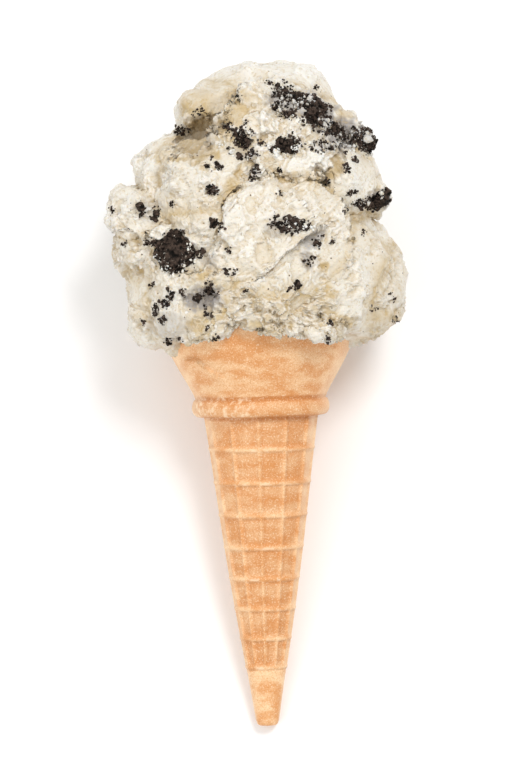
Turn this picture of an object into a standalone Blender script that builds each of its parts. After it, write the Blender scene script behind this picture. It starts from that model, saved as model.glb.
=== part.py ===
"""Ice cream with biscuit pieces on a pointed wafer cone, lying on its side.

Metres, +Z up. The pieces are drawn upright: the cone stands on its tip at the origin, and the shown side
faces -Y. An empty then lays them on their back, so that the shown side is up.
"""

import itertools
import math

import bmesh
import bpy
import numpy as np
from mathutils import Matrix, Vector
from mathutils.bvhtree import BVHTree

MM = 0.001

# Wafer cone: radii and heights above the tip.
CONE_HEIGHT = 114.3 * MM
RIM_RADIUS = 27.3 * MM
CUP_BASE_RADIUS = 18.2 * MM
COLLAR_RADIUS = 19.1 * MM
COLLAR_TOP = 91.6 * MM
COLLAR_BOTTOM = 86.4 * MM
TAPER_TOP_RADIUS = 15.8 * MM
TIP_RADIUS = 3.0 * MM
TIP_ROUNDING = 1.0 * MM
TAPER_BULGE = 0.5 * MM
CUP_WALL = 2.0 * MM
CUP_FLOOR = 93.0 * MM

# Waffle relief of the taper: rings and ribs stand proud of its panels.
RING_COUNT = 8
RING_PITCH = 9.6 * MM
RING_PITCH_LOSS = 0.1 * MM
RING_DEPTH = 1.3 * MM
RING_PROUD = 0.3 * MM
PANEL_SUNK = 0.55 * MM
RIB_COUNT = 12
TURNED_STEPS = 3 * RIB_COUNT
RIB_PROUD = 0.15 * MM
RIB_NARROWING = 0.5
RIB_TURN = math.radians(-3)

# Gaps between neighbouring solids.
TOUCH_GAP = 0.3 * MM

# How far the ice cream that fills the cup reaches into the mass above.
PLUG_REACH = 8.0 * MM

# The mass of the ice cream: name, centre and half sizes (across, deep, up) in millimetres, upright. The front
# is at negative y.
MASSES = (
    ("middle", (0, 1, 128), (36, 32, 17.5)),
    ("crown", (3, 7, 155.5), (23.5, 23, 29.8)),
    ("crown_left", (-10, 3, 171.5), (12.5, 17, 7.5)),
    ("crown_right", (12, 0, 160), (16, 18, 15.5)),
    ("upper_left", (-21, 3, 153.5), (12, 16, 12.5)),
    ("low_left", (-20, -3, 121), (15, 21, 15)),
    ("low_right", (23, -1, 122), (17, 23, 15.5)),
    ("corner_left", (-25, -4, 113), (10, 16, 7)),
    ("corner_right", (27, -3, 115), (10.5, 17, 7.5)),
    ("right", (19, 0, 146), (14, 20, 16)),
    ("left", (-26, -4, 136), (12, 16, 13)),
    ("middle_high", (0, -8, 146), (20, 20, 14)),
)

# Slabs that the scoop folded over that mass: name, centre and half sizes (across, outwards, up) in
# millimetres, and the turn in degrees, anticlockwise as seen from outside. They bend round the heart line.
HEART = (0, 3)
HEART_HEIGHTS = (124, 152)
SLABS = (
    ("left_band", (-21, -18, 147.5), (25, 6.5, 12), 33),
    ("band_peak", (-4, -21, 161), (8.5, 6.5, 9.5), 15),
    ("left_lobe", (-31.5, -11, 143.3), (11, 8, 6.8), -10),
    ("left_block", (-27, -19, 132), (8, 5, 8), -15),
    ("left_fold", (-21, -25, 121), (12, 5, 12), 5),
    ("left_lip", (-13, -27, 118), (8, 6, 8), 30),
    ("left_middle", (-17, -23, 138), (11, 5.5, 9), 0),
    ("front_fold", (6.5, -30.5, 132.5), (18.5, 6.5, 21), -17),
    ("front_lower", (5, -29, 120), (17, 6, 9), -5),
    ("centre_top", (10, -25, 160), (12, 5.5, 9), -12),
    ("crown_fold", (11, -14, 169.5), (15, 6.5, 9), -28),
    ("recess_tooth", (-14.5, -10, 169), (3.5, 4, 3.5), 25),
    ("right_shoulder", (25, -9, 162), (7, 6, 6), -30),
    ("right_fold", (24, -16, 149.5), (9, 6, 9.5), 0),
    ("right_chip", (30, -5, 146), (6, 6, 5), 0),
    ("right_low_fold", (26, -18, 123), (17, 7, 14), -10),
    ("right_flank", (29, -9, 131), (12, 6, 8.5), 15),
    ("skirt_left", (-16, -24, 113), (8, 5, 3.8), 10),
    ("skirt_drop", (-11.5, -26, 110.5), (2.5, 2, 2.5), 0),
    ("skirt_middle", (3.5, -29, 112.8), (4, 3.5, 3), 0),
    ("skirt_right", (18, -25, 111.8), (6.5, 5, 3.8), -15),
    ("skirt_corner", (20, -22, 110.2), (3.5, 3, 2.5), 0),
    ("back_band", (-14, 25, 148), (22, 6.5, 12), -28),
    ("back_fold", (14, 26, 133), (18, 6.5, 17), 20),
    ("back_crown", (4, 18, 168), (15, 7, 11), 15),
    ("back_left", (-25, 17, 125), (14, 7, 14), 0),
    ("back_right", (28, 13, 147), (11, 6, 9), -30),
    ("back_skirt", (-4, 27, 115), (13, 5, 7), 0),
    ("side_left", (-33, 5, 138), (13, 6, 12), 10),
)
# Each starts as a ball of this many subdivisions, squared off by powers below 1, one an axis.
MASS_SQUARENESS = (0.85, 0.85, 0.85)
SLAB_SQUARENESS = (0.85, 0.5, 0.85)
LUMP_SMOOTHNESS = 5

# Shape noise of the masses and slabs: cell size and strength in millimetres, then seed.
WARPS = ((17.0, 3.2, 11), (8.0, 2.2, 23), (4.0, 1.2, 37))
ICE_TRIANGLES = 5000

# Biscuit pieces: where the centre shows from the front (or the back), half sizes along and across, in
# millimetres, and the turn in degrees.
FRONT_PIECES = (
    ("biscuit_crown", (13, 172), (7.6, 5.0), -22),
    ("biscuit_shoulder", (21.8, 163.5), (3.2, 3.8), -50),
    ("biscuit_side", (31, 162.5), (3.2, 3.5), 10),
    ("biscuit_middle", (-3.5, 162.5), (5.2, 3.6), -25),
    ("biscuit_small", (9.5, 161), (3.9, 2.4), 5),
    ("biscuit_left", (-23.4, 132.2), (5.5, 5.9), 20),
    ("biscuit_front", (9.5, 139), (5.2, 2.6), -5),
    ("biscuit_flank", (31.5, 145), (5.4, 3.0), 15),
)
BACK_PIECES = (
    ("biscuit_back_top", (-8, 166), (6.0, 4.4), 30),
    ("biscuit_back_left", (-24, 142), (5.5, 4.2), -20),
    ("biscuit_back_right", (23, 134), (5.0, 4.5), 65),
)
PIECE_THICKNESS = 3.2 * MM
PIECE_PROUD = 1.1 * MM
PIECE_ROUGHNESS = 0.9 * MM
PIECE_SQUARENESS = 0.7
PIECE_GRAIN = 2.6
PIECE_SMOOTHNESS = 2
PIECE_SEED = 100

# Crumbs in clusters, as seen from the front: centre and spread in millimetres, and count. The others are
# scattered all round, fewer on the back.
CRUMB_CLUSTERS = (
    ((-25, 118), 5.0, 9),
    ((-14, 121), 4.0, 5),
    ((-11, 136), 3.5, 5),
    ((-30, 144), 5.0, 5),
    ((-11, 149), 1.5, 2),
    ((-1, 155), 4.0, 5),
    ((-18, 151), 9.0, 4),
    ((15, 131), 5.0, 5),
    ((11, 121), 3.0, 2),
    ((20, 157), 4.0, 4),
    ((27, 154), 3.0, 3),
    ((22, 113), 6.0, 3),
)
SCATTERED_CRUMBS = 34
SCATTER_CENTRE = Vector((0, 0, 146 * MM))
FRONT_SCATTER = 0.4
LOWEST_SCATTER = -0.5
CRUMB_RADIUS = (0.7 * MM, 1.5 * MM)
CRUMB_FLATNESS = 0.8
CRUMB_ROUGHNESS = 0.3
CRUMB_SEED = 5

# The object on its side: the angle between the cone's axis and the floor.
LYING_TILT = math.radians(13.0)
TABLE_HALF = 100 * MM

# The shape noise turns the corners of its cells into numbers with these factors.
HASH_STEPS = np.array((73856093, 19349663, 83492791), np.int64)
HASH_SEED = 2654435761
HASH_MIX = 1274126177

# A line of sight starts this far outside the ice cream.
SIGHT_REACH = 200 * MM
SHARP_ANGLE = math.radians(35)

WAFER_COLOUR = (0.86, 0.53, 0.25, 1)
CREAM_COLOUR = (0.87, 0.83, 0.70, 1)
BISCUIT_COLOUR = (0.02, 0.013, 0.01, 1)


def clear_scene():
    """Remove every object of the start-up scene."""
    for item in list(bpy.data.objects):
        bpy.data.objects.remove(item)


def new_collection(name):
    """Make a collection in the scene."""
    made = bpy.data.collections.new(name)
    bpy.context.scene.collection.children.link(made)
    return made


def material(name, colour, roughness):
    """Make a plain Principled material."""
    made = bpy.data.materials.new(name)
    made.use_nodes = True
    shader = made.node_tree.nodes["Principled BSDF"]
    shader.inputs["Base Color"].default_value = colour
    shader.inputs["Roughness"].default_value = roughness
    shader.inputs["Metallic"].default_value = 0
    return made


def mesh_object(name, shape, collection):
    """Turn a bmesh into an object of a collection, and free the bmesh."""
    mesh = bpy.data.meshes.new(name)
    shape.to_mesh(mesh)
    shape.free()
    made = bpy.data.objects.new(name, mesh)
    collection.objects.link(made)
    return made


def add_boolean(target, operation, other, solver="EXACT"):
    """Add a Boolean modifier that joins or cuts with an object or with a collection's objects."""
    modifier = target.modifiers.new(operation.lower(), "BOOLEAN")
    modifier.operation = operation
    modifier.solver = solver
    if isinstance(other, bpy.types.Collection):
        modifier.operand_type = "COLLECTION"
        modifier.collection = other
    else:
        modifier.object = other
    return modifier


def apply_modifiers(target):
    """Replace the object's mesh by its evaluated one and drop the modifiers."""
    graph = bpy.context.evaluated_depsgraph_get()
    mesh = bpy.data.meshes.new_from_object(target.evaluated_get(graph))
    target.modifiers.clear()
    target.data = mesh


def remove_collection(collection):
    """Remove a collection and the objects in it."""
    for item in list(collection.objects):
        bpy.data.objects.remove(item)
    bpy.data.collections.remove(collection)


def vertex_array(mesh):
    """The mesh's vertices as an array of points."""
    points = np.empty(len(mesh.vertices) * 3)
    mesh.vertices.foreach_get("co", points)
    return points.reshape(-1, 3)


def set_vertices(mesh, points):
    """Move the mesh's vertices to the points of an array."""
    mesh.vertices.foreach_set("co", points.ravel())
    mesh.update()


def gradient_noise(points, cell, seed):
    """Smooth noise of about -1 to 1: hashed gradients at the corners of cubes with side cell, blended."""
    scaled = points / cell
    base = np.floor(scaled).astype(np.int64)
    inside = scaled - base
    fade = inside**3 * (inside * (inside * 6 - 15) + 10)
    total = np.zeros(len(points))
    for corner in itertools.product((0, 1), repeat=3):
        key = (base + corner) @ HASH_STEPS + seed * HASH_SEED
        key = (key ^ (key >> 13)) * HASH_MIX
        key ^= key >> 17
        gradient = ((key[:, None] >> np.array((0, 9, 18))) & 511) / 255.5 - 1
        weight = np.prod(np.where(corner, fade, 1 - fade), axis=1)
        total += weight * np.einsum("ij,ij->i", gradient, inside - corner)
    return total


def warped(points):
    """Points in millimetres, each pushed by noise vectors of several sizes."""
    moved = points.copy()
    for cell, strength, seed in WARPS:
        for axis in range(3):
            moved[:, axis] += strength * gradient_noise(points, cell, seed + axis)
    return moved


def ring_height(index):
    """Height of the lower edge of a ring; the pitch shrinks a little towards the tip."""
    return COLLAR_BOTTOM - RING_PITCH * index + RING_PITCH_LOSS * index**2


def taper_radius(height):
    """Outer radius of the taper over its rings: a straight line with a slight belly."""
    share = height / COLLAR_BOTTOM
    straight = TIP_RADIUS + (TAPER_TOP_RADIUS - TIP_RADIUS) * share
    return straight + TAPER_BULGE * np.sin(math.pi * share) ** 2


def cup_profile():
    """(radius, height) down the outside of the flared cup, from the rim to the collar."""
    steps = 5
    points = []
    for step in range(steps):
        share = step / steps
        flare = math.cos(share * math.pi / 2) ** 1.15
        radius = CUP_BASE_RADIUS + (RIM_RADIUS - CUP_BASE_RADIUS) * flare
        points.append((radius, CONE_HEIGHT + (COLLAR_TOP - CONE_HEIGHT) * share))
    return points


def collar_profile():
    """(radius, height) down the rounded bead under the cup."""
    middle = (COLLAR_TOP + COLLAR_BOTTOM) / 2
    half = (COLLAR_TOP - COLLAR_BOTTOM) / 2
    return [
        (CUP_BASE_RADIUS, COLLAR_TOP),
        (COLLAR_RADIUS, middle + 0.45 * half),
        (COLLAR_RADIUS, middle - 0.45 * half),
        (COLLAR_RADIUS - 0.5 * half, COLLAR_BOTTOM),
        (TAPER_TOP_RADIUS - PANEL_SUNK, COLLAR_BOTTOM),
    ]


def taper_profile():
    """(radius, height) down the tiers of the taper: a sunk panel, then a ring that stands proud."""
    points = []
    for index in range(1, RING_COUNT + 1):
        low = ring_height(index)
        shoulder = low + 2 * RING_DEPTH
        points.append((taper_radius(shoulder) - PANEL_SUNK, shoulder))
        points.append((taper_radius(low) + RING_PROUD, low + RING_DEPTH))
        points.append((taper_radius(low) + RING_PROUD, low))
        points.append((taper_radius(low) - PANEL_SUNK, low - 0.2 * RING_DEPTH))
    return points


def tip_profile():
    """(radius, height) round the blunt tip to the axis."""
    return [
        (taper_radius(TIP_ROUNDING), TIP_ROUNDING),
        (TIP_RADIUS - 0.8 * TIP_ROUNDING, 0),
        (0, 0),
    ]


def hollow_radius(height):
    """Radius of the hollow inside the cup at a height: the outside less the wall."""
    outside = cup_profile() + [(CUP_BASE_RADIUS, COLLAR_TOP)]
    radii, heights = zip(*reversed(outside))
    return float(np.interp(height, heights, radii)) - CUP_WALL


def hollow_profile(gap=0.0):
    """(radius, height) from the centre of the cup's floor out and up to its rim, less a gap all round."""
    floor = CUP_FLOOR + gap
    heights = [floor, (CUP_FLOOR + CONE_HEIGHT) / 2, CONE_HEIGHT]
    return [(0, floor), *((hollow_radius(height) - gap, height) for height in heights)]


def turned(name, profile, collection):
    """Turn a profile of (radius, height) points about the Z axis."""
    shape = bmesh.new()
    points = [shape.verts.new((radius, 0, height)) for radius, height in profile]
    for first, second in itertools.pairwise(points):
        shape.edges.new((first, second))
    made = mesh_object(name, shape, collection)
    screw = made.modifiers.new("turn", "SCREW")
    screw.steps = TURNED_STEPS
    screw.render_steps = TURNED_STEPS
    screw.use_merge_vertices = True
    screw.merge_threshold = 0.01 * MM
    apply_modifiers(made)
    return made


def ribbed(points):
    """Make the taper's ribs: two of three columns of points close in on the third, which stands proud."""
    radius = np.hypot(points[:, 0], points[:, 1])
    angle = np.arctan2(points[:, 1], points[:, 0])
    height = points[:, 2]
    share = angle / (math.tau / RIB_COUNT)
    phase = share - np.round(share)
    outer = taper_radius(height)
    on_taper = (height > ring_height(RING_COUNT)) & (height < COLLAR_BOTTOM + 0.1 * MM)
    on_taper &= np.abs(radius - outer) < 2 * PANEL_SUNK
    crest = on_taper & (np.abs(phase) < 1 / 6)
    radius = np.where(crest, np.maximum(radius, outer + RIB_PROUD), radius)
    closing = phase * RIB_NARROWING * math.tau / RIB_COUNT
    angle = np.where(on_taper, angle - closing, angle) + RIB_TURN
    return np.column_stack((radius * np.cos(angle), radius * np.sin(angle), height))


def build_wafer_cone(collection):
    """The wafer: a flared cup, a bead, and a taper with rings and ribs."""
    inside = hollow_profile()
    outside = cup_profile() + collar_profile() + taper_profile() + tip_profile()
    cone = turned("wafer_cone", inside + outside, collection)
    set_vertices(cone.data, ribbed(vertex_array(cone.data)))
    return cone


def squared(ball, power):
    """Points of a ball of radius 1 pushed towards the cube round it; power may hold one number an axis."""
    return np.sign(ball) * np.abs(ball) ** power


def ball_object(name, smoothness, collection):
    """A ball of radius 1 made of triangles, as a primitive."""
    shape = bmesh.new()
    bmesh.ops.create_icosphere(shape, subdivisions=smoothness, radius=1)
    return mesh_object(name, shape, collection)


def lump(name, place, squareness, collection):
    """A squared ball that a function moves to its place in millimetres, warped by the shape noise."""
    made = ball_object(name, LUMP_SMOOTHNESS, collection)
    ball = squared(vertex_array(made.data), squareness)
    set_vertices(made.data, warped(place(ball)) * MM)
    return made


def mass(name, centre, half_sizes, collection):
    """A plain mass of ice cream: the ball stretched to its half sizes."""
    return lump(name, lambda ball: ball * half_sizes + centre, MASS_SQUARENESS, collection)


def slab(name, centre, half_sizes, turn, collection):
    """A folded slab: the ball flattened, turned, and bent round the heart line so that it hugs the mass."""
    heart = Vector((*HEART, min(max(centre[2], HEART_HEIGHTS[0]), HEART_HEIGHTS[1])))
    outwards = Vector(centre) - heart
    bend_radius = outwards.length
    spin = np.array(Matrix.Rotation(math.radians(turn), 3, "Y"))
    facing = np.array(outwards.to_track_quat("Y", "Z").to_matrix())

    def place(ball):
        across, out, up = spin @ (ball * half_sizes).T
        run = np.hypot(across, up)
        swing = np.sin(run / bend_radius) / np.maximum(run, MM)
        bent = np.array((across * swing, np.cos(run / bend_radius), up * swing)) * (bend_radius + out)
        return (facing @ bent).T + np.array(heart)

    return lump(name, place, SLAB_SQUARENESS, collection)


def build_ice_body(collection):
    """All masses and slabs joined, and their triangles thinned out."""
    lumps = new_collection("lumps")
    for name, centre, half_sizes in MASSES[1:]:
        mass(name, centre, half_sizes, lumps)
    for name, centre, half_sizes, turn in SLABS:
        slab(name, centre, half_sizes, turn, lumps)
    _, centre, half_sizes = MASSES[0]
    body = mass("ice_cream", centre, half_sizes, collection)
    add_boolean(body, "UNION", lumps, "MANIFOLD")
    apply_modifiers(body)
    remove_collection(lumps)
    thin = body.modifiers.new("thin", "DECIMATE")
    thin.ratio = ICE_TRIANGLES / len(body.data.loop_triangles or body.data.polygons)
    thin.use_collapse_triangulate = True
    apply_modifiers(body)
    return body


def facing_matrix(normal):
    """The turn that points Z along a normal, with Y as upright as it can be."""
    return normal.to_track_quat("Z", "Y").to_matrix().to_4x4()


def surface_point(tree, x, z, side):
    """Where a line of sight from the front (side -1) or the back (1) meets the ice cream, and the normal."""
    start = Vector((x, side * SIGHT_REACH, z))
    place, normal, _, _ = tree.ray_cast(start, Vector((0, -side, 0)))
    return place, normal


def broken_piece(name, size, roughness, seed, smoothness, collection):
    """A broken piece: a ball with flattened faces, stretched to its half sizes and roughened by noise."""
    made = ball_object(name, smoothness, collection)
    points = squared(vertex_array(made.data), PIECE_SQUARENESS) * np.array(size)
    noise = gradient_noise(points / MM, PIECE_GRAIN, seed)
    set_vertices(made.data, points * (1 + roughness / min(size) * noise[:, None]))
    return made


def build_biscuits(tree, collection, cutters):
    """The larger biscuit pieces, each pressed into the surface, and a cutter for the pocket that holds it."""
    made = []
    pieces = [(piece, -1) for piece in FRONT_PIECES] + [(piece, 1) for piece in BACK_PIECES]
    for index, ((name, (x, z), (along, across), turn), side) in enumerate(pieces):
        place, normal = surface_point(tree, x * MM, z * MM, side)
        size = (along * MM, across * MM, PIECE_THICKNESS)
        seat = Matrix.Translation(place - normal * (PIECE_THICKNESS - PIECE_PROUD))
        seat @= facing_matrix(normal) @ Matrix.Rotation(math.radians(turn), 4, "Z")
        seed = PIECE_SEED + index
        piece = broken_piece(name, size, PIECE_ROUGHNESS, seed, PIECE_SMOOTHNESS, collection)
        pocket = broken_piece("pocket_" + name, size, PIECE_ROUGHNESS, seed, PIECE_SMOOTHNESS, cutters)
        grow = Matrix.Diagonal([(length + TOUCH_GAP) / length for length in size] + [1])
        piece.data.transform(seat)
        pocket.data.transform(seat @ grow)
        made.append(piece)
    return made


def crumb_sites(tree):
    """Places and normals for the crumbs: clusters seen from the front, then a scatter all round."""
    draw = np.random.default_rng(CRUMB_SEED)
    sites = []
    for (x, z), spread, count in CRUMB_CLUSTERS:
        for _ in range(count):
            dx, dz = draw.normal(0, spread / 2, 2)
            sites.append(surface_point(tree, (x + dx) * MM, (z + dz) * MM, -1))
    for _ in range(SCATTERED_CRUMBS):
        way = Vector(draw.normal(0, 1, 3))
        way.y = abs(way.y) * draw.choice((-FRONT_SCATTER, 1.0))
        way.z = max(way.z, LOWEST_SCATTER)
        way.normalize()
        sites.append(tree.ray_cast(SCATTER_CENTRE + way * SIGHT_REACH, -way)[:2])
    return [site for site in sites if site[0] is not None and site[0].z > CONE_HEIGHT]


def add_crumbs(tree, pockets, collection):
    """Small crumbs half sunk in the surface, left out where they would meet a larger piece."""
    draw = np.random.default_rng(CRUMB_SEED + 1)
    kept = []
    for index, (place, normal) in enumerate(crumb_sites(tree)):
        radius = draw.uniform(*CRUMB_RADIUS)
        near = [other for other, reach in kept if (place - other).length < radius + reach + TOUCH_GAP]
        blocked = any(pocket.find_nearest(place)[3] < radius + 2 * TOUCH_GAP for pocket in pockets)
        if near or blocked:
            continue
        kept.append((place, radius))
        size = (radius, CRUMB_FLATNESS * radius, CRUMB_FLATNESS * radius)
        crumb = broken_piece(f"crumb_{index}", size, CRUMB_ROUGHNESS * radius, index, 1, collection)
        crumb.data.transform(Matrix.Translation(place) @ facing_matrix(normal))


def bvh(item):
    """A search tree of the object's mesh."""
    shape = bmesh.new()
    shape.from_mesh(item.data)
    tree = BVHTree.FromBMesh(shape)
    shape.free()
    return tree


def cup_void(collection):
    """Cutter as wide as the cup's outside, with a gap: it clears the mass from the cup."""
    below = COLLAR_BOTTOM
    top = CONE_HEIGHT + TOUCH_GAP
    outside = [(radius + TOUCH_GAP, height + TOUCH_GAP) for radius, height in cup_profile()]
    waist = CUP_BASE_RADIUS + TOUCH_GAP
    foot = [(waist, COLLAR_TOP), (waist, below), (0, below)]
    return turned("cup_void", [(0, top), *outside, *foot], collection)


def plug(collection):
    """The ice cream that fills the cup, up to where it is well inside the mass above."""
    wall = hollow_profile(TOUCH_GAP)
    top = CONE_HEIGHT + PLUG_REACH
    return turned("plug", [(0, top), (wall[-1][0], top), *wall[:0:-1], wall[0]], collection)


def cut_now(target, cutter):
    """Cut the target with one object, at once, and remove that object."""
    add_boolean(target, "DIFFERENCE", cutter)
    apply_modifiers(target)
    bpy.data.objects.remove(cutter)


def build_ice_cream(collection, cutters):
    """The ice cream, one solid: masses, slabs, crumbs and the plug, with pockets for the biscuits."""
    body = build_ice_body(collection)
    cut_now(body, cup_void(cutters))
    tree = bvh(body)
    biscuits = build_biscuits(tree, collection, cutters)
    additions = new_collection("additions")
    plug(additions)
    add_crumbs(tree, [bvh(item) for item in cutters.objects], additions)
    add_boolean(body, "UNION", additions, "MANIFOLD")
    apply_modifiers(body)
    remove_collection(additions)
    add_boolean(body, "DIFFERENCE", cutters)
    return body, biscuits


def table(cutters):
    """Cutter that leaves a flat spot on the ice cream where it lies on the floor."""
    bpy.ops.mesh.primitive_cube_add(size=2 * TABLE_HALF, location=(0, 0, -TABLE_HALF))
    made = bpy.context.object
    made.name = "table"
    made.users_collection[0].objects.unlink(made)
    cutters.objects.link(made)


def lay_down(pieces, cutters, cone):
    """Parent everything to an empty that tilts it onto its back, centred, its tip on the floor."""
    holder = bpy.data.objects.new("ice_cream_cone", None)
    bpy.context.scene.collection.objects.link(holder)
    holder.rotation_euler.x = LYING_TILT - math.pi / 2
    tilt = np.array(holder.rotation_euler.to_matrix())
    lying = np.concatenate([vertex_array(piece.data) for piece in pieces]) @ tilt.T
    middle = (lying.min(axis=0) + lying.max(axis=0)) / 2
    floor = (vertex_array(cone.data) @ tilt.T)[:, 2].min()
    holder.location = (-middle[0], -middle[1], -floor)
    for item in [*pieces, *cutters]:
        item.parent = holder


def dress(cone, ice_cream, biscuits):
    """Give each object its plain material, and shade the wafer smooth between its edges."""
    cone.data.materials.append(material("wafer", WAFER_COLOUR, 0.7))
    ice_cream.data.materials.append(material("cream", CREAM_COLOUR, 0.55))
    dark = material("biscuit", BISCUIT_COLOUR, 0.8)
    for piece in biscuits:
        piece.data.materials.append(dark)
    cone.data.shade_smooth()
    cone.data.set_sharp_from_angle(angle=SHARP_ANGLE)


def main():
    """Build the object upright, dress it and lay it down."""
    clear_scene()
    parts = new_collection("ice_cream_cone")
    cutters = new_collection("cutters")
    cone = build_wafer_cone(parts)
    ice_cream, biscuits = build_ice_cream(parts, cutters)
    dress(cone, ice_cream, biscuits)
    lay_down(parts.objects, cutters.objects, cone)
    table(cutters)
    for cutter in cutters.objects:
        cutter.hide_render = True
        cutter.display_type = "WIRE"


main()
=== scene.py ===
"""Ice cream with biscuit pieces in a wafer cone, lying on its back: its finished surfaces.

The forms are drawn upright, in millimetres, as the cone stands before a viewer: x to the right, y away from
the viewer and z up from the tip. `Lying` lays them on their back, in metres.
"""

import itertools
import logging
import math
from collections.abc import Iterable, Sequence
from dataclasses import dataclass, field, replace
from enum import Enum

import bpy
import numpy as np
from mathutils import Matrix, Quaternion, Vector


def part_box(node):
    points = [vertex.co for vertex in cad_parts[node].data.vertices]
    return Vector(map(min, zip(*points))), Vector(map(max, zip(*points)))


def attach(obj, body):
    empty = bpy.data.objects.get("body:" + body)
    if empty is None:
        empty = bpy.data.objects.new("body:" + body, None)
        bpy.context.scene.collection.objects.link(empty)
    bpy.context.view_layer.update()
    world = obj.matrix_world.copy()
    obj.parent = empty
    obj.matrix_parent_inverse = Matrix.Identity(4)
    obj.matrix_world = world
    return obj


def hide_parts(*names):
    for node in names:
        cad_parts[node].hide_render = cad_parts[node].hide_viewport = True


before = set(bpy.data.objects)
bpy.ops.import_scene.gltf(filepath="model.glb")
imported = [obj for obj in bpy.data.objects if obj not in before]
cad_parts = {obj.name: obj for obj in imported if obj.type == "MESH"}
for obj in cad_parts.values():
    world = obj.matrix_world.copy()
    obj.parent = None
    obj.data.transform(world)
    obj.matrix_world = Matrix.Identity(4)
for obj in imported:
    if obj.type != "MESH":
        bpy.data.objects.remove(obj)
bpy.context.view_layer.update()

LOG = logging.getLogger("ice_cream_cone")
MM = 0.001
BODY = "root"
Colour = tuple[float, float, float, float]
Pair = tuple[float, float]
Triple = tuple[float, float, float]

# The picture's size in pixels, and where its middle lies on the upright drawing.
IMAGE_SIZE = (532, 768)
MM_PER_PIXEL = 0.278
VIEW_MIDDLE = (1.6, 0.0, 95.1)
VIEW_TILT = math.radians(2.0)
VIEW_ROLL = math.radians(-1.25)
VIEW_DISTANCE = 1.2

# Noise turns each of its cubes into a whole number with these factors and shifts.
HASH_STEPS = np.array((73856093, 19349663, 83492791), np.int64)
HASH_SEED = 2654435761
HASH_MIX = 1274126177
HASH_SHIFTS = (13, 17)

# Nine bits of that number belong to each axis, and eight further ones to the cube itself.
AXIS_SHIFTS = np.array((0, 9, 18))
AXIS_MOST = 511
OWN_SHIFT = 27
OWN_MOST = 255

# Radius of a granule, as a share of its cell.
GRANULE_RADIUS = 0.85

# Keeps a length that is divided by from being 0.
TINY = 1e-6


# ---------- Noise ----------


def hashed(cubes: np.ndarray, seed: int) -> np.ndarray:
    """A whole number a cube, as good as random: its place and the seed, multiplied and shifted."""
    key = cubes @ HASH_STEPS + seed * HASH_SEED
    key = (key ^ (key >> HASH_SHIFTS[0])) * HASH_MIX
    return key ^ (key >> HASH_SHIFTS[1])


def axis_numbers(key: np.ndarray) -> np.ndarray:
    """Three numbers from 0 to AXIS_MOST for each whole number, one an axis."""
    return (key[:, None] >> AXIS_SHIFTS) & AXIS_MOST


def gradient_noise(points: np.ndarray, cell: float, seed: int) -> np.ndarray:
    """Smooth noise: hashed gradients at the corners of cubes, blended with the fade 6t^5 - 15t^4 + 10t^3.

    Args:
        points: places, one row each.
        cell: side of the cubes, in the unit of the points.
        seed: picks one of many patterns.

    Returns:
        One value a point, about -1 to 1.
    """
    scaled = points / cell
    base = np.floor(scaled).astype(np.int64)
    inside = scaled - base
    fade = inside**3 * (inside * (inside * 6 - 15) + 10)
    total = np.zeros(len(points))
    for corner in itertools.product((0, 1), repeat=3):
        gradient = axis_numbers(hashed(base + corner, seed)) / (AXIS_MOST / 2) - 1
        weight = np.prod(np.where(corner, fade, 1 - fade), axis=1)
        total += weight * np.einsum("ij,ij->i", gradient, inside - corner)
    return total


def layered_noise(points: np.ndarray, cell: float, seed: int, layers: int) -> np.ndarray:
    """Noise with finer layers on top: each layer has half the cell and half the strength.

    Args:
        points: places, one row each.
        cell: cell of the coarsest layer.
        seed: seed of the coarsest layer.
        layers: how many layers are added up.

    Returns:
        One value a point.
    """
    return sum(gradient_noise(points, cell / 2**k, seed + k) / 2**k for k in range(layers))


@dataclass(frozen=True)
class Noise:
    """Layered noise of its own: cell, seed, layers and strength; seed_step parts the seeds of its axes."""

    cell: float
    seed: int
    layers: int = 2
    strength: float = 1.0
    seed_step: int = 1

    def at(self, points: np.ndarray) -> np.ndarray:
        """One value a point."""
        return self.strength * layered_noise(points, self.cell, self.seed, self.layers)

    def push(self, points: np.ndarray) -> np.ndarray:
        """One vector a point: the noise once for each axis, each time with another seed."""
        axes = [replace(self, seed=self.seed + self.seed_step * axis).at(points) for axis in range(3)]
        return np.stack(axes, -1)


def summed(noises: Iterable[Noise], points: np.ndarray) -> np.ndarray:
    """The sum of several noises at each point."""
    return sum(noise.at(points) for noise in noises)


def smoothstep(low: float, high: float, values: np.ndarray) -> np.ndarray:
    """Rise from 0 at low to 1 at high with flat ends: 3t^2 - 2t^3."""
    share = np.clip((values - low) / (high - low), 0, 1)
    return share * share * (3 - 2 * share)


def nearest_seeds(points: np.ndarray, cell: float, seed: int) -> tuple[np.ndarray, np.ndarray, np.ndarray]:
    """Look at a seed point in each cube of side cell.

    Args:
        points: places, one row each.
        cell: side of the cubes.
        seed: picks one of many patterns.

    Returns:
        For each place the distances to the two nearest seed points, in cubes, and a number from 0 to 1
        that belongs to the nearest one.
    """
    scaled = points / cell
    base = np.floor(scaled).astype(np.int64)
    nearest = np.full(len(points), np.inf)
    second = np.full(len(points), np.inf)
    number = np.zeros(len(points))
    for step in itertools.product((-1, 0, 1), repeat=3):
        cube = base + step
        key = hashed(cube, seed)
        place = cube + axis_numbers(key) / AXIS_MOST
        distance = np.linalg.norm(scaled - place, axis=1)
        closer = distance < nearest
        second = np.where(closer, nearest, np.minimum(second, distance))
        number = np.where(closer, ((key >> OWN_SHIFT) & OWN_MOST) / OWN_MOST, number)
        nearest = np.minimum(nearest, distance)
    return nearest, second, number


def chunk_noise(points: np.ndarray, cell: float, seed: int, crack: float = 0.14) -> np.ndarray:
    """Broken chunks, each with its own height from 0 to 1, and cracks of height 0 between them."""
    nearest, second, height = nearest_seeds(points, cell, seed)
    return height * smoothstep(0.0, crack, second - nearest)


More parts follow.
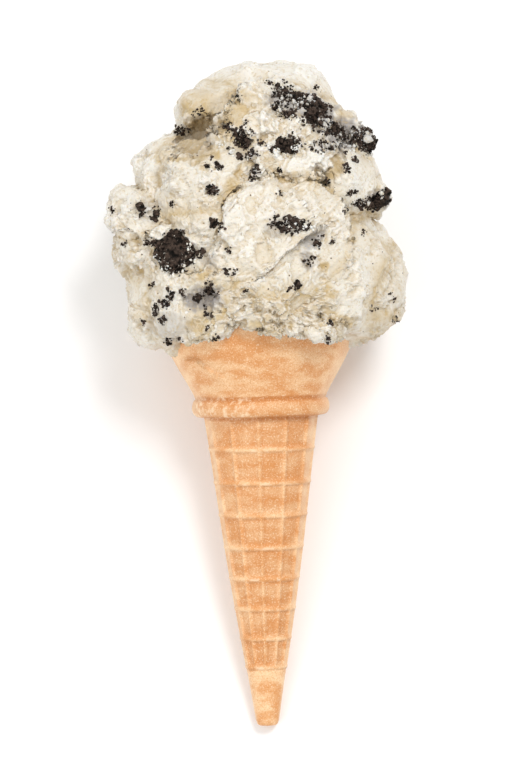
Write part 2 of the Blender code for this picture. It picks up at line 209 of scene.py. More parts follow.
@dataclass(frozen=True)
class TornEdge:
    """A torn edge: the step from 0 to 1, the crack at its foot and the rim along its top, from 0 to 1."""

    step: np.ndarray
    crack: np.ndarray
    rim: np.ndarray


def torn_edge(over: np.ndarray, half_step: float = 0.12, crack: float = 0.5, rim: float = 0.35) -> TornEdge:
    """Tear along the line where a distance passes 0.

    Args:
        over: signed distance from the line, in millimetres, positive on the high side.
        half_step: half the step's width.
        crack: how fast the crack fades below the line.
        rim: how fast the rim fades above it.

    Returns:
        The step, and the crack and the rim, which fade as exp(-distance / reach).
    """
    step = smoothstep(-half_step, half_step, over)
    away = np.abs(over)
    return TornEdge(step, (1 - step) * np.exp(-away / crack), step * np.exp(-away / rim))


def granule_noise(points: np.ndarray, cell: float, seed: int, lowest: float = 0.4) -> np.ndarray:
    """Round granules as high as lowest to 1, (1 - (distance/radius)^2) each, with creases where they meet."""
    nearest, _, height = nearest_seeds(points, cell, seed)
    return (lowest + (1 - lowest) * height) * np.maximum(1 - (nearest / GRANULE_RADIUS) ** 2, 0)


# ---------- Surfaces ----------


@dataclass
class Surface:
    """A closed surface in upright millimetres, with values a vertex that its material reads."""

    points: np.ndarray
    quads: np.ndarray
    triangles: np.ndarray
    values: dict[str, np.ndarray] = field(default_factory=dict)

    def corners(self) -> np.ndarray:
        """Each face as triangles: a quad gives two."""
        first = self.quads[:, (0, 1, 2)]
        second = self.quads[:, (0, 2, 3)]
        return np.concatenate((first, second, self.triangles))

    def normals(self) -> np.ndarray:
        """Unit normals at the vertices: the sum of the crossed edges of the triangles round each."""
        corners = self.corners()
        a, b, c = (self.points[corners[:, k]] for k in range(3))
        crossed = np.cross(b - a, c - a)
        total = np.empty_like(self.points)
        for axis in range(3):
            weights = np.repeat(crossed[:, axis], 3)
            total[:, axis] = np.bincount(corners.ravel(), weights, len(self.points))
        return total / np.maximum(np.linalg.norm(total, axis=1, keepdims=True), TINY)

    def volume(self) -> float:
        """Volume in cubic millimetres, negative where the faces point inwards."""
        a, b, c = (self.points[self.corners()[:, k]] for k in range(3))
        return float(np.einsum("ij,ij->", a, np.cross(b, c)) / 6)

    def turned_out(self) -> "Surface":
        """The same surface with its faces pointing outwards."""
        if self.volume() >= 0:
            return self
        return Surface(self.points, self.quads[:, ::-1], self.triangles[:, ::-1], self.values)


def polar_faces(rows: int, columns: int) -> tuple[np.ndarray, np.ndarray]:
    """Faces of a closed polar grid: rings of vertices between two pole vertices.

    The poles are the first and the last vertex. Ring r, column c is vertex 1 + r * columns + c.

    Args:
        rows: number of rings between the poles.
        columns: vertices in a ring.

    Returns:
        The quads between the rings, and the triangles round the poles.
    """
    column = np.arange(columns)
    beside = (column + 1) % columns
    start = 1 + columns * np.arange(rows - 1)[:, None]
    quads = np.stack((start + column, start + beside, start + columns + beside, start + columns + column), -1)
    last = 1 + rows * columns
    first_fan = np.stack((np.zeros_like(column), 1 + beside, 1 + column), -1)
    ring = last - columns
    last_fan = np.stack((np.full_like(column, last), ring + column, ring + beside), -1)
    return quads.reshape(-1, 4), np.concatenate((first_fan, last_fan))


def polar_grid(angles: np.ndarray, columns: int) -> np.ndarray:
    """Directions on a ball, pole first: (sin t cos s, cos t, sin t sin s) for polar angle t and turn s.

    Args:
        angles: polar angles of the rings, without the poles.
        columns: directions in each ring.

    Returns:
        Unit vectors: the pole at +Y, the rings, the pole at -Y.
    """
    turn = np.linspace(0, math.tau, columns, endpoint=False)
    polar = angles[:, None]
    rings = np.stack(np.broadcast_arrays(
        np.sin(polar) * np.cos(turn), np.cos(polar), np.sin(polar) * np.sin(turn)), -1)
    return np.concatenate(([(0, 1, 0)], rings.reshape(-1, 3), [(0, -1, 0)]))


def joined(surfaces: Sequence[Surface]) -> Surface:
    """Put several surfaces into one, each still closed by itself."""
    starts = np.cumsum([0] + [len(surface.points) for surface in surfaces])
    quads = np.concatenate([surface.quads + start for surface, start in zip(surfaces, starts)])
    triangles = np.concatenate([surface.triangles + start for surface, start in zip(surfaces, starts)])
    points = np.concatenate([surface.points for surface in surfaces])
    names = surfaces[0].values
    values = {name: np.concatenate([surface.values[name] for surface in surfaces]) for name in names}
    return Surface(points, quads, triangles, values)


@dataclass(frozen=True)
class Lying:
    """The turn and the shift that lay the upright drawing on its back.

    World x = x, y = y sin(tilt) + z cos(tilt), z = -y cos(tilt) + z sin(tilt), each plus its shift.
    """

    tilt: float
    shift: Triple

    def world(self, points: np.ndarray) -> np.ndarray:
        """Upright millimetres to metres in the world; nothing reaches below the floor."""
        x, y, z = points.T * MM
        sine, cosine = math.sin(self.tilt), math.cos(self.tilt)
        placed = np.stack((x, y * sine + z * cosine, z * sine - y * cosine), -1) + self.shift
        placed[:, 2] = np.maximum(placed[:, 2], 0)
        return placed

    def upright(self, places: np.ndarray) -> np.ndarray:
        """Metres in the world back to upright millimetres."""
        x, y, z = (places - self.shift).T / MM
        sine, cosine = math.sin(self.tilt), math.cos(self.tilt)
        return np.stack((x, y * sine - z * cosine, y * cosine + z * sine), -1)


def linked(name: str, data: bpy.types.ID) -> bpy.types.Object:
    """Make an object of some data and link it to the scene."""
    made = bpy.data.objects.new(name, data)
    bpy.context.scene.collection.objects.link(made)
    return made


def mesh_object(name: str, surface: Surface, lying: Lying, material: bpy.types.Material) -> bpy.types.Object:
    """Make the object of a surface: its place in its mesh, its values as attributes.

    Args:
        name: name of the object and of its mesh.
        surface: the surface, in upright millimetres.
        lying: lays the surface down.
        material: its only material.

    Returns:
        The new object, linked to the scene.
    """
    mesh = bpy.data.meshes.new(name)
    loops = np.concatenate((surface.quads.ravel(), surface.triangles.ravel())).astype(np.int32)
    quad_starts = 4 * np.arange(len(surface.quads))
    triangle_starts = surface.quads.size + 3 * np.arange(len(surface.triangles))
    mesh.vertices.add(len(surface.points))
    mesh.vertices.foreach_set("co", lying.world(surface.points).ravel())
    mesh.loops.add(len(loops))
    mesh.loops.foreach_set("vertex_index", loops)
    mesh.polygons.add(len(surface.quads) + len(surface.triangles))
    mesh.polygons.foreach_set("loop_start", np.concatenate((quad_starts, triangle_starts)).astype(np.int32))
    for value_name, values in surface.values.items():
        attribute = mesh.attributes.new(value_name, "FLOAT", "POINT")
        attribute.data.foreach_set("value", values.astype(np.float32))
    mesh.materials.append(material)
    mesh.update(calc_edges=True)
    mesh.polygons.foreach_set("use_smooth", np.full(len(mesh.polygons), True))
    LOG.info("%s: %d triangles", name, 2 * len(surface.quads) + len(surface.triangles))
    return linked(name, mesh)


# ---------- Ice cream ----------


class Region(Enum):
    """The pieces that the lumps are joined into."""

    HEART = "ice_cream_heart"
    CROWN = "ice_cream_crown"
    PEAK = "ice_cream_peak"
    BAND = "ice_cream_band"
    LEFT = "ice_cream_left"
    FRONT = "ice_cream_front"
    RIGHT = "ice_cream_right"
    SKIRT = "ice_cream_skirt"
    BACK = "ice_cream_back"


@dataclass(frozen=True)
class Texture:
    """How a lump's surface looks up close: lengths in millimetres, shares from 0 to 1.

    torn is the share of torn, pitted surface; ledge the height of its torn layers; streak the depth of
    scraped lines; frill how far its rim is torn in and out; blend how widely it melts into its neighbours;
    grain the spacing of its vertices; scrape_turn turns the scraped lines from its long axis, in degrees.
    """

    torn: float
    ledge: float
    streak: float
    frill: float
    blend: float
    grain: float
    scrape_turn: float = 0.0


class Skin(Enum):
    """The kinds of surface that the scoop leaves."""

    RAGGED = Texture(torn=1.3, ledge=0.9, streak=0.0, frill=1.2, blend=2.0, grain=0.27)
    TORN = Texture(torn=1.0, ledge=0.9, streak=0.0, frill=1.2, blend=2.0, grain=0.27)
    SCRAPED = Texture(torn=0.35, ledge=0.32, streak=0.4, frill=1.1, blend=1.6, grain=0.27)
    FLAP = Texture(torn=0.45, ledge=0.4, streak=0.55, frill=1.1, blend=1.6, grain=0.27, scrape_turn=52.0)
    SMOOTH = Texture(torn=0.3, ledge=0.25, streak=0.08, frill=0.6, blend=3.5, grain=0.33)
    CORE = Texture(torn=0.6, ledge=0.35, streak=0.0, frill=0.0, blend=3.5, grain=0.52)
    REAR = Texture(torn=0.7, ledge=0.4, streak=0.1, frill=0.9, blend=2.5, grain=0.45)


# The line inside the ice cream that its slabs bend round: x and y, and its lowest and highest z.
HEART = (0.0, 3.0)
HEART_HEIGHTS = (124.0, 152.0)

# A lump's rings are this many times further apart on its hidden side, past this angle from its pole.
COARSE_STEPS = 4.0
COARSE_FROM = math.radians(100)
ROW_SAMPLES = 4001

# Noise that warps the whole ice cream, and noise that tears the ledges' edges.
WARPS = (Noise(17.0, 11, 1, 3.2), Noise(8.0, 23, 1, 2.2), Noise(4.0, 37, 1, 0.7))
TEETH = (Noise(2.8, 91), Noise(1.1, 93, strength=0.7))

# The front of the ice cream ends and its back begins between these depths.
FRONT_DEPTHS = (-8.0, 2.0)


@dataclass(frozen=True)
class Lump:
    """A lump of ice cream: a squared ball stretched to its half sizes (across, deep, up)."""

    name: str
    centre: Triple
    half_sizes: Triple
    region: Region
    skin: Skin
    squareness = (0.85, 0.85, 0.85)

    @property
    def texture(self) -> Texture:
        """The looks of its surface up close."""
        return self.skin.value

    def heart(self) -> np.ndarray:
        """The point of the heart line that the lump faces away from."""
        return np.array((*HEART, min(max(self.centre[2], HEART_HEIGHTS[0]), HEART_HEIGHTS[1])))

    def facing(self) -> np.ndarray:
        """The turn that points Y away from the heart line and keeps Z upright, as a matrix."""
        outwards = Vector(np.array(self.centre) - self.heart())
        return np.array(outwards.to_track_quat("Y", "Z").to_matrix())

    def ball(self) -> np.ndarray:
        """Turn the polar grid's directions so that its first pole faces out."""
        raise NotImplementedError

    def local(self, points: np.ndarray) -> np.ndarray:
        """Points as seen in the lump's own axes, from its own middle."""
        raise NotImplementedError

    def placed(self, local: np.ndarray) -> np.ndarray:
        """The inverse of local."""
        raise NotImplementedError

    def rows(self) -> np.ndarray:
        """Polar angles of the rings: even steps along the outer face, longer ones on the hidden side."""
        across, deep, up = self.half_sizes
        flatness = self.squareness[1]
        fine = np.linspace(0, math.pi, ROW_SAMPLES)
        wide = (across + up) / 2 * np.sin(fine)
        high = deep * np.sign(np.cos(fine)) * np.abs(np.cos(fine)) ** flatness
        step = np.hypot(np.diff(wide), np.diff(high))
        spacing = self.texture.grain * np.where(fine[1:] < COARSE_FROM, 1, COARSE_STEPS)
        travel = np.concatenate(([0], np.cumsum(step / spacing)))
        count = int(travel[-1])
        return np.interp(np.linspace(0, travel[-1], count)[1:-1], travel, fine)

    def columns(self) -> int:
        """How many columns keep the spacing at the rim."""
        across, _, up = self.half_sizes
        return int(math.pi * (across + up) / self.texture.grain)

    def distance(self, points: np.ndarray) -> np.ndarray:
        """Roughly how far outside the lump each point is: the form's value over its slope."""
        share = np.abs(self.local(points)) / self.half_sizes
        power = 2 / np.array(self.squareness)
        value = (share**power).sum(axis=1) - 1
        slope = np.linalg.norm(power * share ** (power - 1) / self.half_sizes, axis=1)
        return value / np.maximum(slope, TINY)

    def reach(self) -> float:
        """Radius of a ball round its centre that holds it all."""
        return float(np.linalg.norm(self.half_sizes)) + self.texture.blend


@dataclass(frozen=True)
class Mass(Lump):
    """A plain mass, its axes those of the drawing."""

    def ball(self) -> np.ndarray:
        """The polar grid with its pole away from the heart line."""
        return polar_grid(self.rows(), self.columns()) @ self.facing().T

    def local(self, points: np.ndarray) -> np.ndarray:
        """Shifted to the middle."""
        return points - self.centre

    def placed(self, local: np.ndarray) -> np.ndarray:
        """Shifted back."""
        return local + self.centre


@dataclass(frozen=True)
class Slab(Lump):
    """A folded slab, turned in its plane and bent round the heart line so that it hugs the masses."""

    turn: float = 0.0
    squareness = (0.85, 0.5, 0.85)

    def ball(self) -> np.ndarray:
        """The polar grid as it is: the slab's own Y axis faces out."""
        return polar_grid(self.rows(), self.columns())

    def spin(self) -> np.ndarray:
        """The turn in the slab's plane, as a matrix."""
        angle = math.radians(self.turn)
        return np.array(Quaternion((0, 1, 0), angle).to_matrix())

    def bend_radius(self) -> float:
        """Distance from the heart line to the slab's middle."""
        return float(np.linalg.norm(np.array(self.centre) - self.heart()))

    def local(self, points: np.ndarray) -> np.ndarray:
        """Unbend: the distance from the heart gives the depth, the angle from the middle the run."""
        seen = (points - self.heart()) @ self.facing()
        distance = np.maximum(np.linalg.norm(seen, axis=1), TINY)
        aside = np.maximum(np.hypot(seen[:, 0], seen[:, 2]), TINY)
        run = self.bend_radius() * np.arctan2(aside, seen[:, 1])
        out = distance - self.bend_radius()
        flat = np.stack((seen[:, 0] / aside * run, out, seen[:, 2] / aside * run), -1)
        return flat @ self.spin()

    def placed(self, local: np.ndarray) -> np.ndarray:
        """Bend: a point at a run from the middle turns round the heart by run over radius."""
        across, out, up = self.spin() @ local.T
        radius = self.bend_radius()
        run = np.maximum(np.hypot(across, up), TINY)
        swing = np.sin(run / radius) / run
        bent = np.array((across * swing, np.cos(run / radius), up * swing)) * (radius + out)
        return (self.facing() @ bent).T + self.heart()


def mass(name: str, centre: Triple, half_sizes: Triple, region: Region, skin: Skin = Skin.CORE) -> Mass:
    """Short form of a mass for the list below."""
    return Mass(name, centre, half_sizes, region, skin)


def slab(name: str, centre: Triple, half_sizes: Triple, turn: float, region: Region, skin: Skin) -> Slab:
    """Short form of a slab for the list below."""
    return Slab(name, centre, half_sizes, region, skin, turn)


LUMPS: tuple[Lump, ...] = (
    mass("middle", (0, 1, 128), (36, 32, 17.5), Region.HEART),
    mass("crown", (3, 7, 155.5), (23.5, 23, 29.8), Region.CROWN, Skin.SMOOTH),
    mass("crown_left", (-10, 3, 171.5), (12.5, 17, 7.5), Region.CROWN, Skin.SMOOTH),
    mass("crown_right", (12, 0, 160), (16, 18, 15.5), Region.PEAK),
    mass("upper_left", (-21, 3, 153.5), (12, 16, 12.5), Region.HEART),
    mass("low_left", (-20, -3, 121), (15, 21, 15), Region.HEART),
    mass("low_right", (23, -1, 122), (17, 23, 15.5), Region.HEART),
    mass("corner_left", (-25, -4, 113), (10, 16, 7), Region.SKIRT),
    mass("corner_right", (27, -3, 115), (10.5, 17, 7.5), Region.SKIRT),
    mass("right", (19, 0, 146), (14, 20, 16), Region.RIGHT),
    mass("left", (-26, -4, 136), (12, 16, 13), Region.LEFT),
    mass("middle_high", (0, -8, 146), (20, 20, 14), Region.HEART),
    slab("left_band", (-21, -18, 147.5), (25, 6.5, 12), 33, Region.BAND, Skin.SCRAPED),
    slab("band_peak", (-4, -21, 161), (8.5, 6.5, 9.5), 15, Region.BAND, Skin.TORN),
    slab("left_lobe", (-31.5, -11, 143.3), (11, 8, 6.8), -10, Region.BAND, Skin.SCRAPED),
    slab("left_block", (-27, -19, 132), (8, 5, 8), -15, Region.LEFT, Skin.TORN),
    slab("left_fold", (-21, -25, 121), (12, 5, 12), 5, Region.LEFT, Skin.SCRAPED),
    slab("left_lip", (-13, -27, 118), (8, 6, 8), 30, Region.LEFT, Skin.TORN),
    slab("left_middle", (-17, -23, 138), (11, 5.5, 9), 0, Region.LEFT, Skin.SCRAPED),
    slab("front_fold", (6.5, -30.5, 132.5), (18.5, 6.5, 21), -17, Region.FRONT, Skin.FLAP),
    slab("front_lower", (5, -29, 120), (17, 6, 9), -5, Region.FRONT, Skin.RAGGED),
    slab("centre_top", (10, -25, 160), (12, 5.5, 9), -12, Region.PEAK, Skin.TORN),
    slab("crown_fold", (11, -14, 169.5), (15, 6.5, 9), -28, Region.PEAK, Skin.TORN),
    slab("recess_tooth", (-14.5, -10, 169), (3.5, 4, 3.5), 25, Region.CROWN, Skin.SMOOTH),
    slab("right_shoulder", (25, -9, 162), (7, 6, 6), -30, Region.RIGHT, Skin.TORN),
    slab("right_fold", (24, -16, 149.5), (9, 6, 9.5), 0, Region.RIGHT, Skin.SMOOTH),
    slab("right_chip", (30, -5, 146), (6, 6, 5), 0, Region.RIGHT, Skin.SMOOTH),
    slab("right_low_fold", (26, -18, 123), (17, 7, 14), -10, Region.RIGHT, Skin.SMOOTH),
    slab("right_flank", (29, -9, 131), (12, 6, 8.5), 15, Region.RIGHT, Skin.SMOOTH),
    slab("skirt_left", (-16, -24, 113), (8, 5, 3.8), 10, Region.SKIRT, Skin.TORN),
    slab("skirt_drop", (-11.5, -26, 110.5), (2.5, 2, 2.5), 0, Region.SKIRT, Skin.TORN),
    slab("skirt_middle", (3.5, -29, 112.8), (4, 3.5, 3), 0, Region.SKIRT, Skin.RAGGED),
    slab("skirt_right", (18, -25, 111.8), (6.5, 5, 3.8), -15, Region.SKIRT, Skin.TORN),
    slab("skirt_corner", (20, -22, 110.2), (3.5, 3, 2.5), 0, Region.SKIRT, Skin.TORN),
    slab("back_band", (-14, 25, 148), (22, 6.5, 12), -28, Region.BACK, Skin.REAR),
    slab("back_fold", (14, 26, 133), (18, 6.5, 17), 20, Region.BACK, Skin.REAR),
    slab("back_crown", (4, 18, 168), (15, 7, 11), 15, Region.BACK, Skin.REAR),
    slab("back_left", (-25, 17, 125), (14, 7, 14), 0, Region.BACK, Skin.REAR),
    slab("back_right", (28, 13, 147), (11, 6, 9), -30, Region.BACK, Skin.REAR),
    slab("back_skirt", (-4, 27, 115), (13, 5, 7), 0, Region.BACK, Skin.REAR),
    slab("side_left", (-33, 5, 138), (13, 6, 12), 10, Region.LEFT, Skin.REAR),
)


def warped(points: np.ndarray) -> np.ndarray:
    """Push points in millimetres by noise vectors of several sizes."""
    moved = points.copy()
    for noise in WARPS:
        moved += noise.push(points)
    return moved


def squared(ball: np.ndarray, squareness: Triple | float) -> np.ndarray:
    """Push the points of a ball of radius 1 towards the cube round it: each coordinate to a power."""
    return np.sign(ball) * np.abs(ball) ** squareness


def front_share(points: np.ndarray) -> np.ndarray:
    """1 on the front half of the ice cream, 0 on its back, with a soft change between."""
    return 1 - smoothstep(*FRONT_DEPTHS, points[:, 1])


@dataclass(frozen=True)
class Ledge:
    """A torn edge seen from the front: the ice cream on the left of its path stands proud of the right.

    The path is a chain of (x, z) places. height is the step, fade how far it takes to run out, ragged how
    far its teeth reach, ends the shares of the path where it is full and where it starts to run out, and sunk
    the share of the step that goes down instead of up.
    """

    path: tuple[Pair, ...]
    height: float
    fade: float
    ragged: float = 1.1
    ends: Pair = (0.18, 0.82)
    sunk: float = 0.35

    def sides(self, points: np.ndarray) -> tuple[np.ndarray, np.ndarray]:
        """Signed distance from the path, positive on its left, and the share of the step there."""
        flat = points[:, (0, 2)]
        path = np.array(self.path)
        lengths = np.linalg.norm(np.diff(path, axis=0), axis=1)
        starts = np.concatenate(([0], np.cumsum(lengths))) / lengths.sum()
        nearest = np.full(len(points), np.inf)
        signed = np.zeros(len(points))
        travel = np.zeros(len(points))
        for index, (start, end) in enumerate(itertools.pairwise(path)):
            way = end - start
            along = np.clip((flat - start) @ way / (way @ way), 0, 1)
            gap = flat - start - along[:, None] * way
            distance = np.linalg.norm(gap, axis=1)
            closer = distance < nearest
            left = way[0] * gap[:, 1] - way[1] * gap[:, 0] > 0
            signed = np.where(closer, np.where(left, distance, -distance), signed)
            travel = np.where(closer, starts[index] + along * (starts[index + 1] - starts[index]), travel)
            nearest = np.minimum(nearest, distance)
        run = smoothstep(0, self.ends[0], travel) * (1 - smoothstep(self.ends[1], 1, travel))
        return signed, run * front_share(points)

    def step(self, points: np.ndarray) -> tuple[np.ndarray, np.ndarray, np.ndarray]:
        """The rise along the normals, and how much of a crease and of a rim there is beside the edge."""
        signed, share = self.sides(points)
        signed = signed + self.ragged * summed(TEETH, points)
        edge = torn_edge(signed if self.height > 0 else -signed)
        fading = np.exp(-np.abs(signed) / self.fade)
        rise = abs(self.height) * share * fading * (edge.step - self.sunk)
        return rise, share * edge.crack, share * edge.rim


LEDGES = {
    "front_edge": Ledge(
        ((-10.2, 113.4), (-12.5, 121.2), (-11.5, 130.1), (-8.0, 140.1), (-4.5, 146.2), (1.8, 152.3)),
        -1.5, 6.0, 0.8),
    "front_second_edge": Ledge(((-9.9, 137.0), (-7.8, 143.5), (-2.6, 150.7)), -0.9, 3.0),
    "front_diagonal": Ledge(((-2.2, 123.2), (1.2, 125.4), (11.9, 134.3), (21.8, 140.1)), 2.2, 3.5, 0.3),
    "front_right_edge": Ledge(
        ((20.6, 151.0), (24.6, 142.1), (25.9, 136.5), (24.3, 129.0), (21.4, 122.6)), -1.6, 5.0),
    "centre_foot": Ledge(
        ((-1.5, 157.3), (0.7, 154.0), (5.4, 152.3), (12.3, 152.9), (17.9, 151.8), (22.1, 154.0)), 1.4, 4.0),
    "band_top": Ledge(
        ((-26.6, 153.2), (-21.8, 157.9), (-15.9, 158.5), (-13.1, 160.7), (-10.5, 164.3),
         (-10.1, 168.5), (-6.5, 171.0), (-3.3, 173.5), (-2.6, 180.4)), -3.2, 4.5),
    "front_facet": Ledge(
        ((16.0, 140.0), (14.5, 141.8), (12.2, 144.6), (9.4, 146.5), (6.1, 149.8), (5.0, 152.5)), 1.1, 4.0),
    "left_foot": Ledge(((-42.7, 142.9), (-39.4, 139.0), (-33.9, 138.4), (-29.8, 135.1)), 1.6, 4.0),
    "left_block_top": Ledge(
        ((-27.1, 129.0), (-24.4, 126.2), (-18.8, 127.3), (-14.6, 127.9), (-12.3, 130.9)), -1.4, 4.0),
}


@dataclass(frozen=True)
class Spot:
    """An ellipse seen from the front: its middle (x, z), its half sizes and its turn in degrees."""

    middle: Pair
    half_sizes: Pair
    turn: float = 0.0

    def axes(self) -> np.ndarray:
        """The ellipse's own axes as the rows of a matrix."""
        cosine, sine = math.cos(math.radians(self.turn)), math.sin(math.radians(self.turn))
        return np.array(((cosine, sine), (-sine, cosine)))

    def span(self, points: np.ndarray) -> np.ndarray:
        """Distance from the middle as a share of the half size in that direction."""
        local = (points[:, (0, 2)] - self.middle) @ self.axes().T
        return np.linalg.norm(local / self.half_sizes, axis=1)


@dataclass(frozen=True)
class Smear(Spot):
    """A place where the cream has another tone, from 0 to 1 of it."""

    strength: float = 0.5


# A smear fades between these shares of its half sizes.
SMEAR_EDGE = (0.55, 1.1)


def tone(smears: Sequence[Smear], points: np.ndarray, ragged: np.ndarray) -> np.ndarray:
    """The strongest of the smears at each point of the front; ragged moves their outlines in and out."""
    strongest = np.zeros(len(points))
    for smear in smears:
        share = 1 - smoothstep(*SMEAR_EDGE, smear.span(points) + ragged)
        strongest = np.maximum(strongest, smear.strength * share)
    return strongest * front_share(points)


# Cream greyed by ground biscuit; the last one, in the recess, is painted shade.
SMEARS = (
    Smear((17.0, 170.5), (9.0, 5.0), -35, 0.7),
    Smear((10.0, 173.0), (7.5, 4.5), -20, 0.7),
    Smear((24.0, 163.5), (5.0, 6.0), -40, 0.8),
    Smear((31.5, 163.5), (5.0, 4.5), -20, 0.8),
    Smear((18.0, 160.0), (3.0, 2.5), 0, 0.4),
    Smear((-15.0, 119.5), (6.5, 4.0), 10, 0.85),
    Smear((-24.0, 112.0), (6.5, 5.0), 0, 0.35),
    Smear((5.0, 138.0), (4.0, 3.0), 0, 0.35),
    Smear((15.5, 135.0), (4.5, 2.2), 35, 0.6),
    Smear((13.5, 129.5), (2.2, 3.0), 0, 0.55),
    Smear((-29.5, 144.5), (5.0, 3.0), 0, 0.3),
    Smear((34.0, 146.0), (4.5, 2.5), 15, 0.5),
    Smear((-2.0, 158.5), (4.0, 2.5), -30, 0.3),
    Smear((-13.0, 130.0), (3.0, 2.0), 0, 0.4),
    Smear((-15.5, 162.5), (8.0, 5.5), 30, 0.25),
)

# Places pushed away from the viewer; the strength is the depth in millimetres.
HOLLOWS = (
    Smear((-15.5, 162.8), (8.5, 6.0), 35, 6.0),
    Smear((-25.0, 131.5), (5.0, 6.0), 0, 1.5),
    Smear((22.5, 157.0), (2.2, 5.0), 15, 2.5),
    Smear((13.5, 132.0), (7.0, 2.6), 40, 1.0),
    Smear((-15.5, 119.0), (6.0, 4.5), 10, 2.0),
)

# Painted shade: cream tinted darker and warmer where it lies in shade, in deep places and seams between
# lumps, and lightly over the front flap's top.
SHADES = (
    Smear((7.0, 144.0), (16.0, 11.0), 20, 0.14),
    Smear((-15.2, 162.9), (9.0, 6.5), 30, 1.0),
    Smear((-10.5, 172.0), (13.0, 8.0), 0, 0.4),
    Smear((-24.5, 160.0), (5.0, 4.5), 0, 0.55),
    Smear((-26.0, 153.9), (1.5, 3.5), -20, 0.6),
    Smear((22.2, 156.2), (2.0, 5.0), 15, 0.6),
    Smear((19.7, 120.7), (2.5, 2.0), -20, 0.7),
    Smear((22.7, 112.6), (4.0, 1.8), -10, 0.8),
    Smear((17.9, 127.6), (1.8, 1.6), 0, 0.6),
    Smear((-17.5, 112.5), (2.4, 1.8), 0, 0.7),
    Smear((-10.3, 116.0), (1.8, 2.6), 0, 0.8),
    Smear((2.0, 112.0), (9.0, 1.5), 0, 0.5),
    Smear((-18.0, 160.3), (7.5, 2.0), 33, 0.5),
    Smear((-20.5, 157.6), (3.8, 0.8), 5, 0.9),
    Smear((-6.5, 150.5), (6.5, 2.0), 52, 0.5),
    Smear((12.0, 152.4), (9.0, 1.3), -3, 0.6),
    Smear((30.0, 141.0), (6.0, 1.5), 15, 0.4),
    Smear((-17.0, 126.5), (7.0, 2.0), -10, 0.4),
    Smear((25.8, 139.0), (1.6, 6.0), 5, 0.35),
    Smear((6.0, 116.0), (8.0, 3.0), 0, 0.25),
)


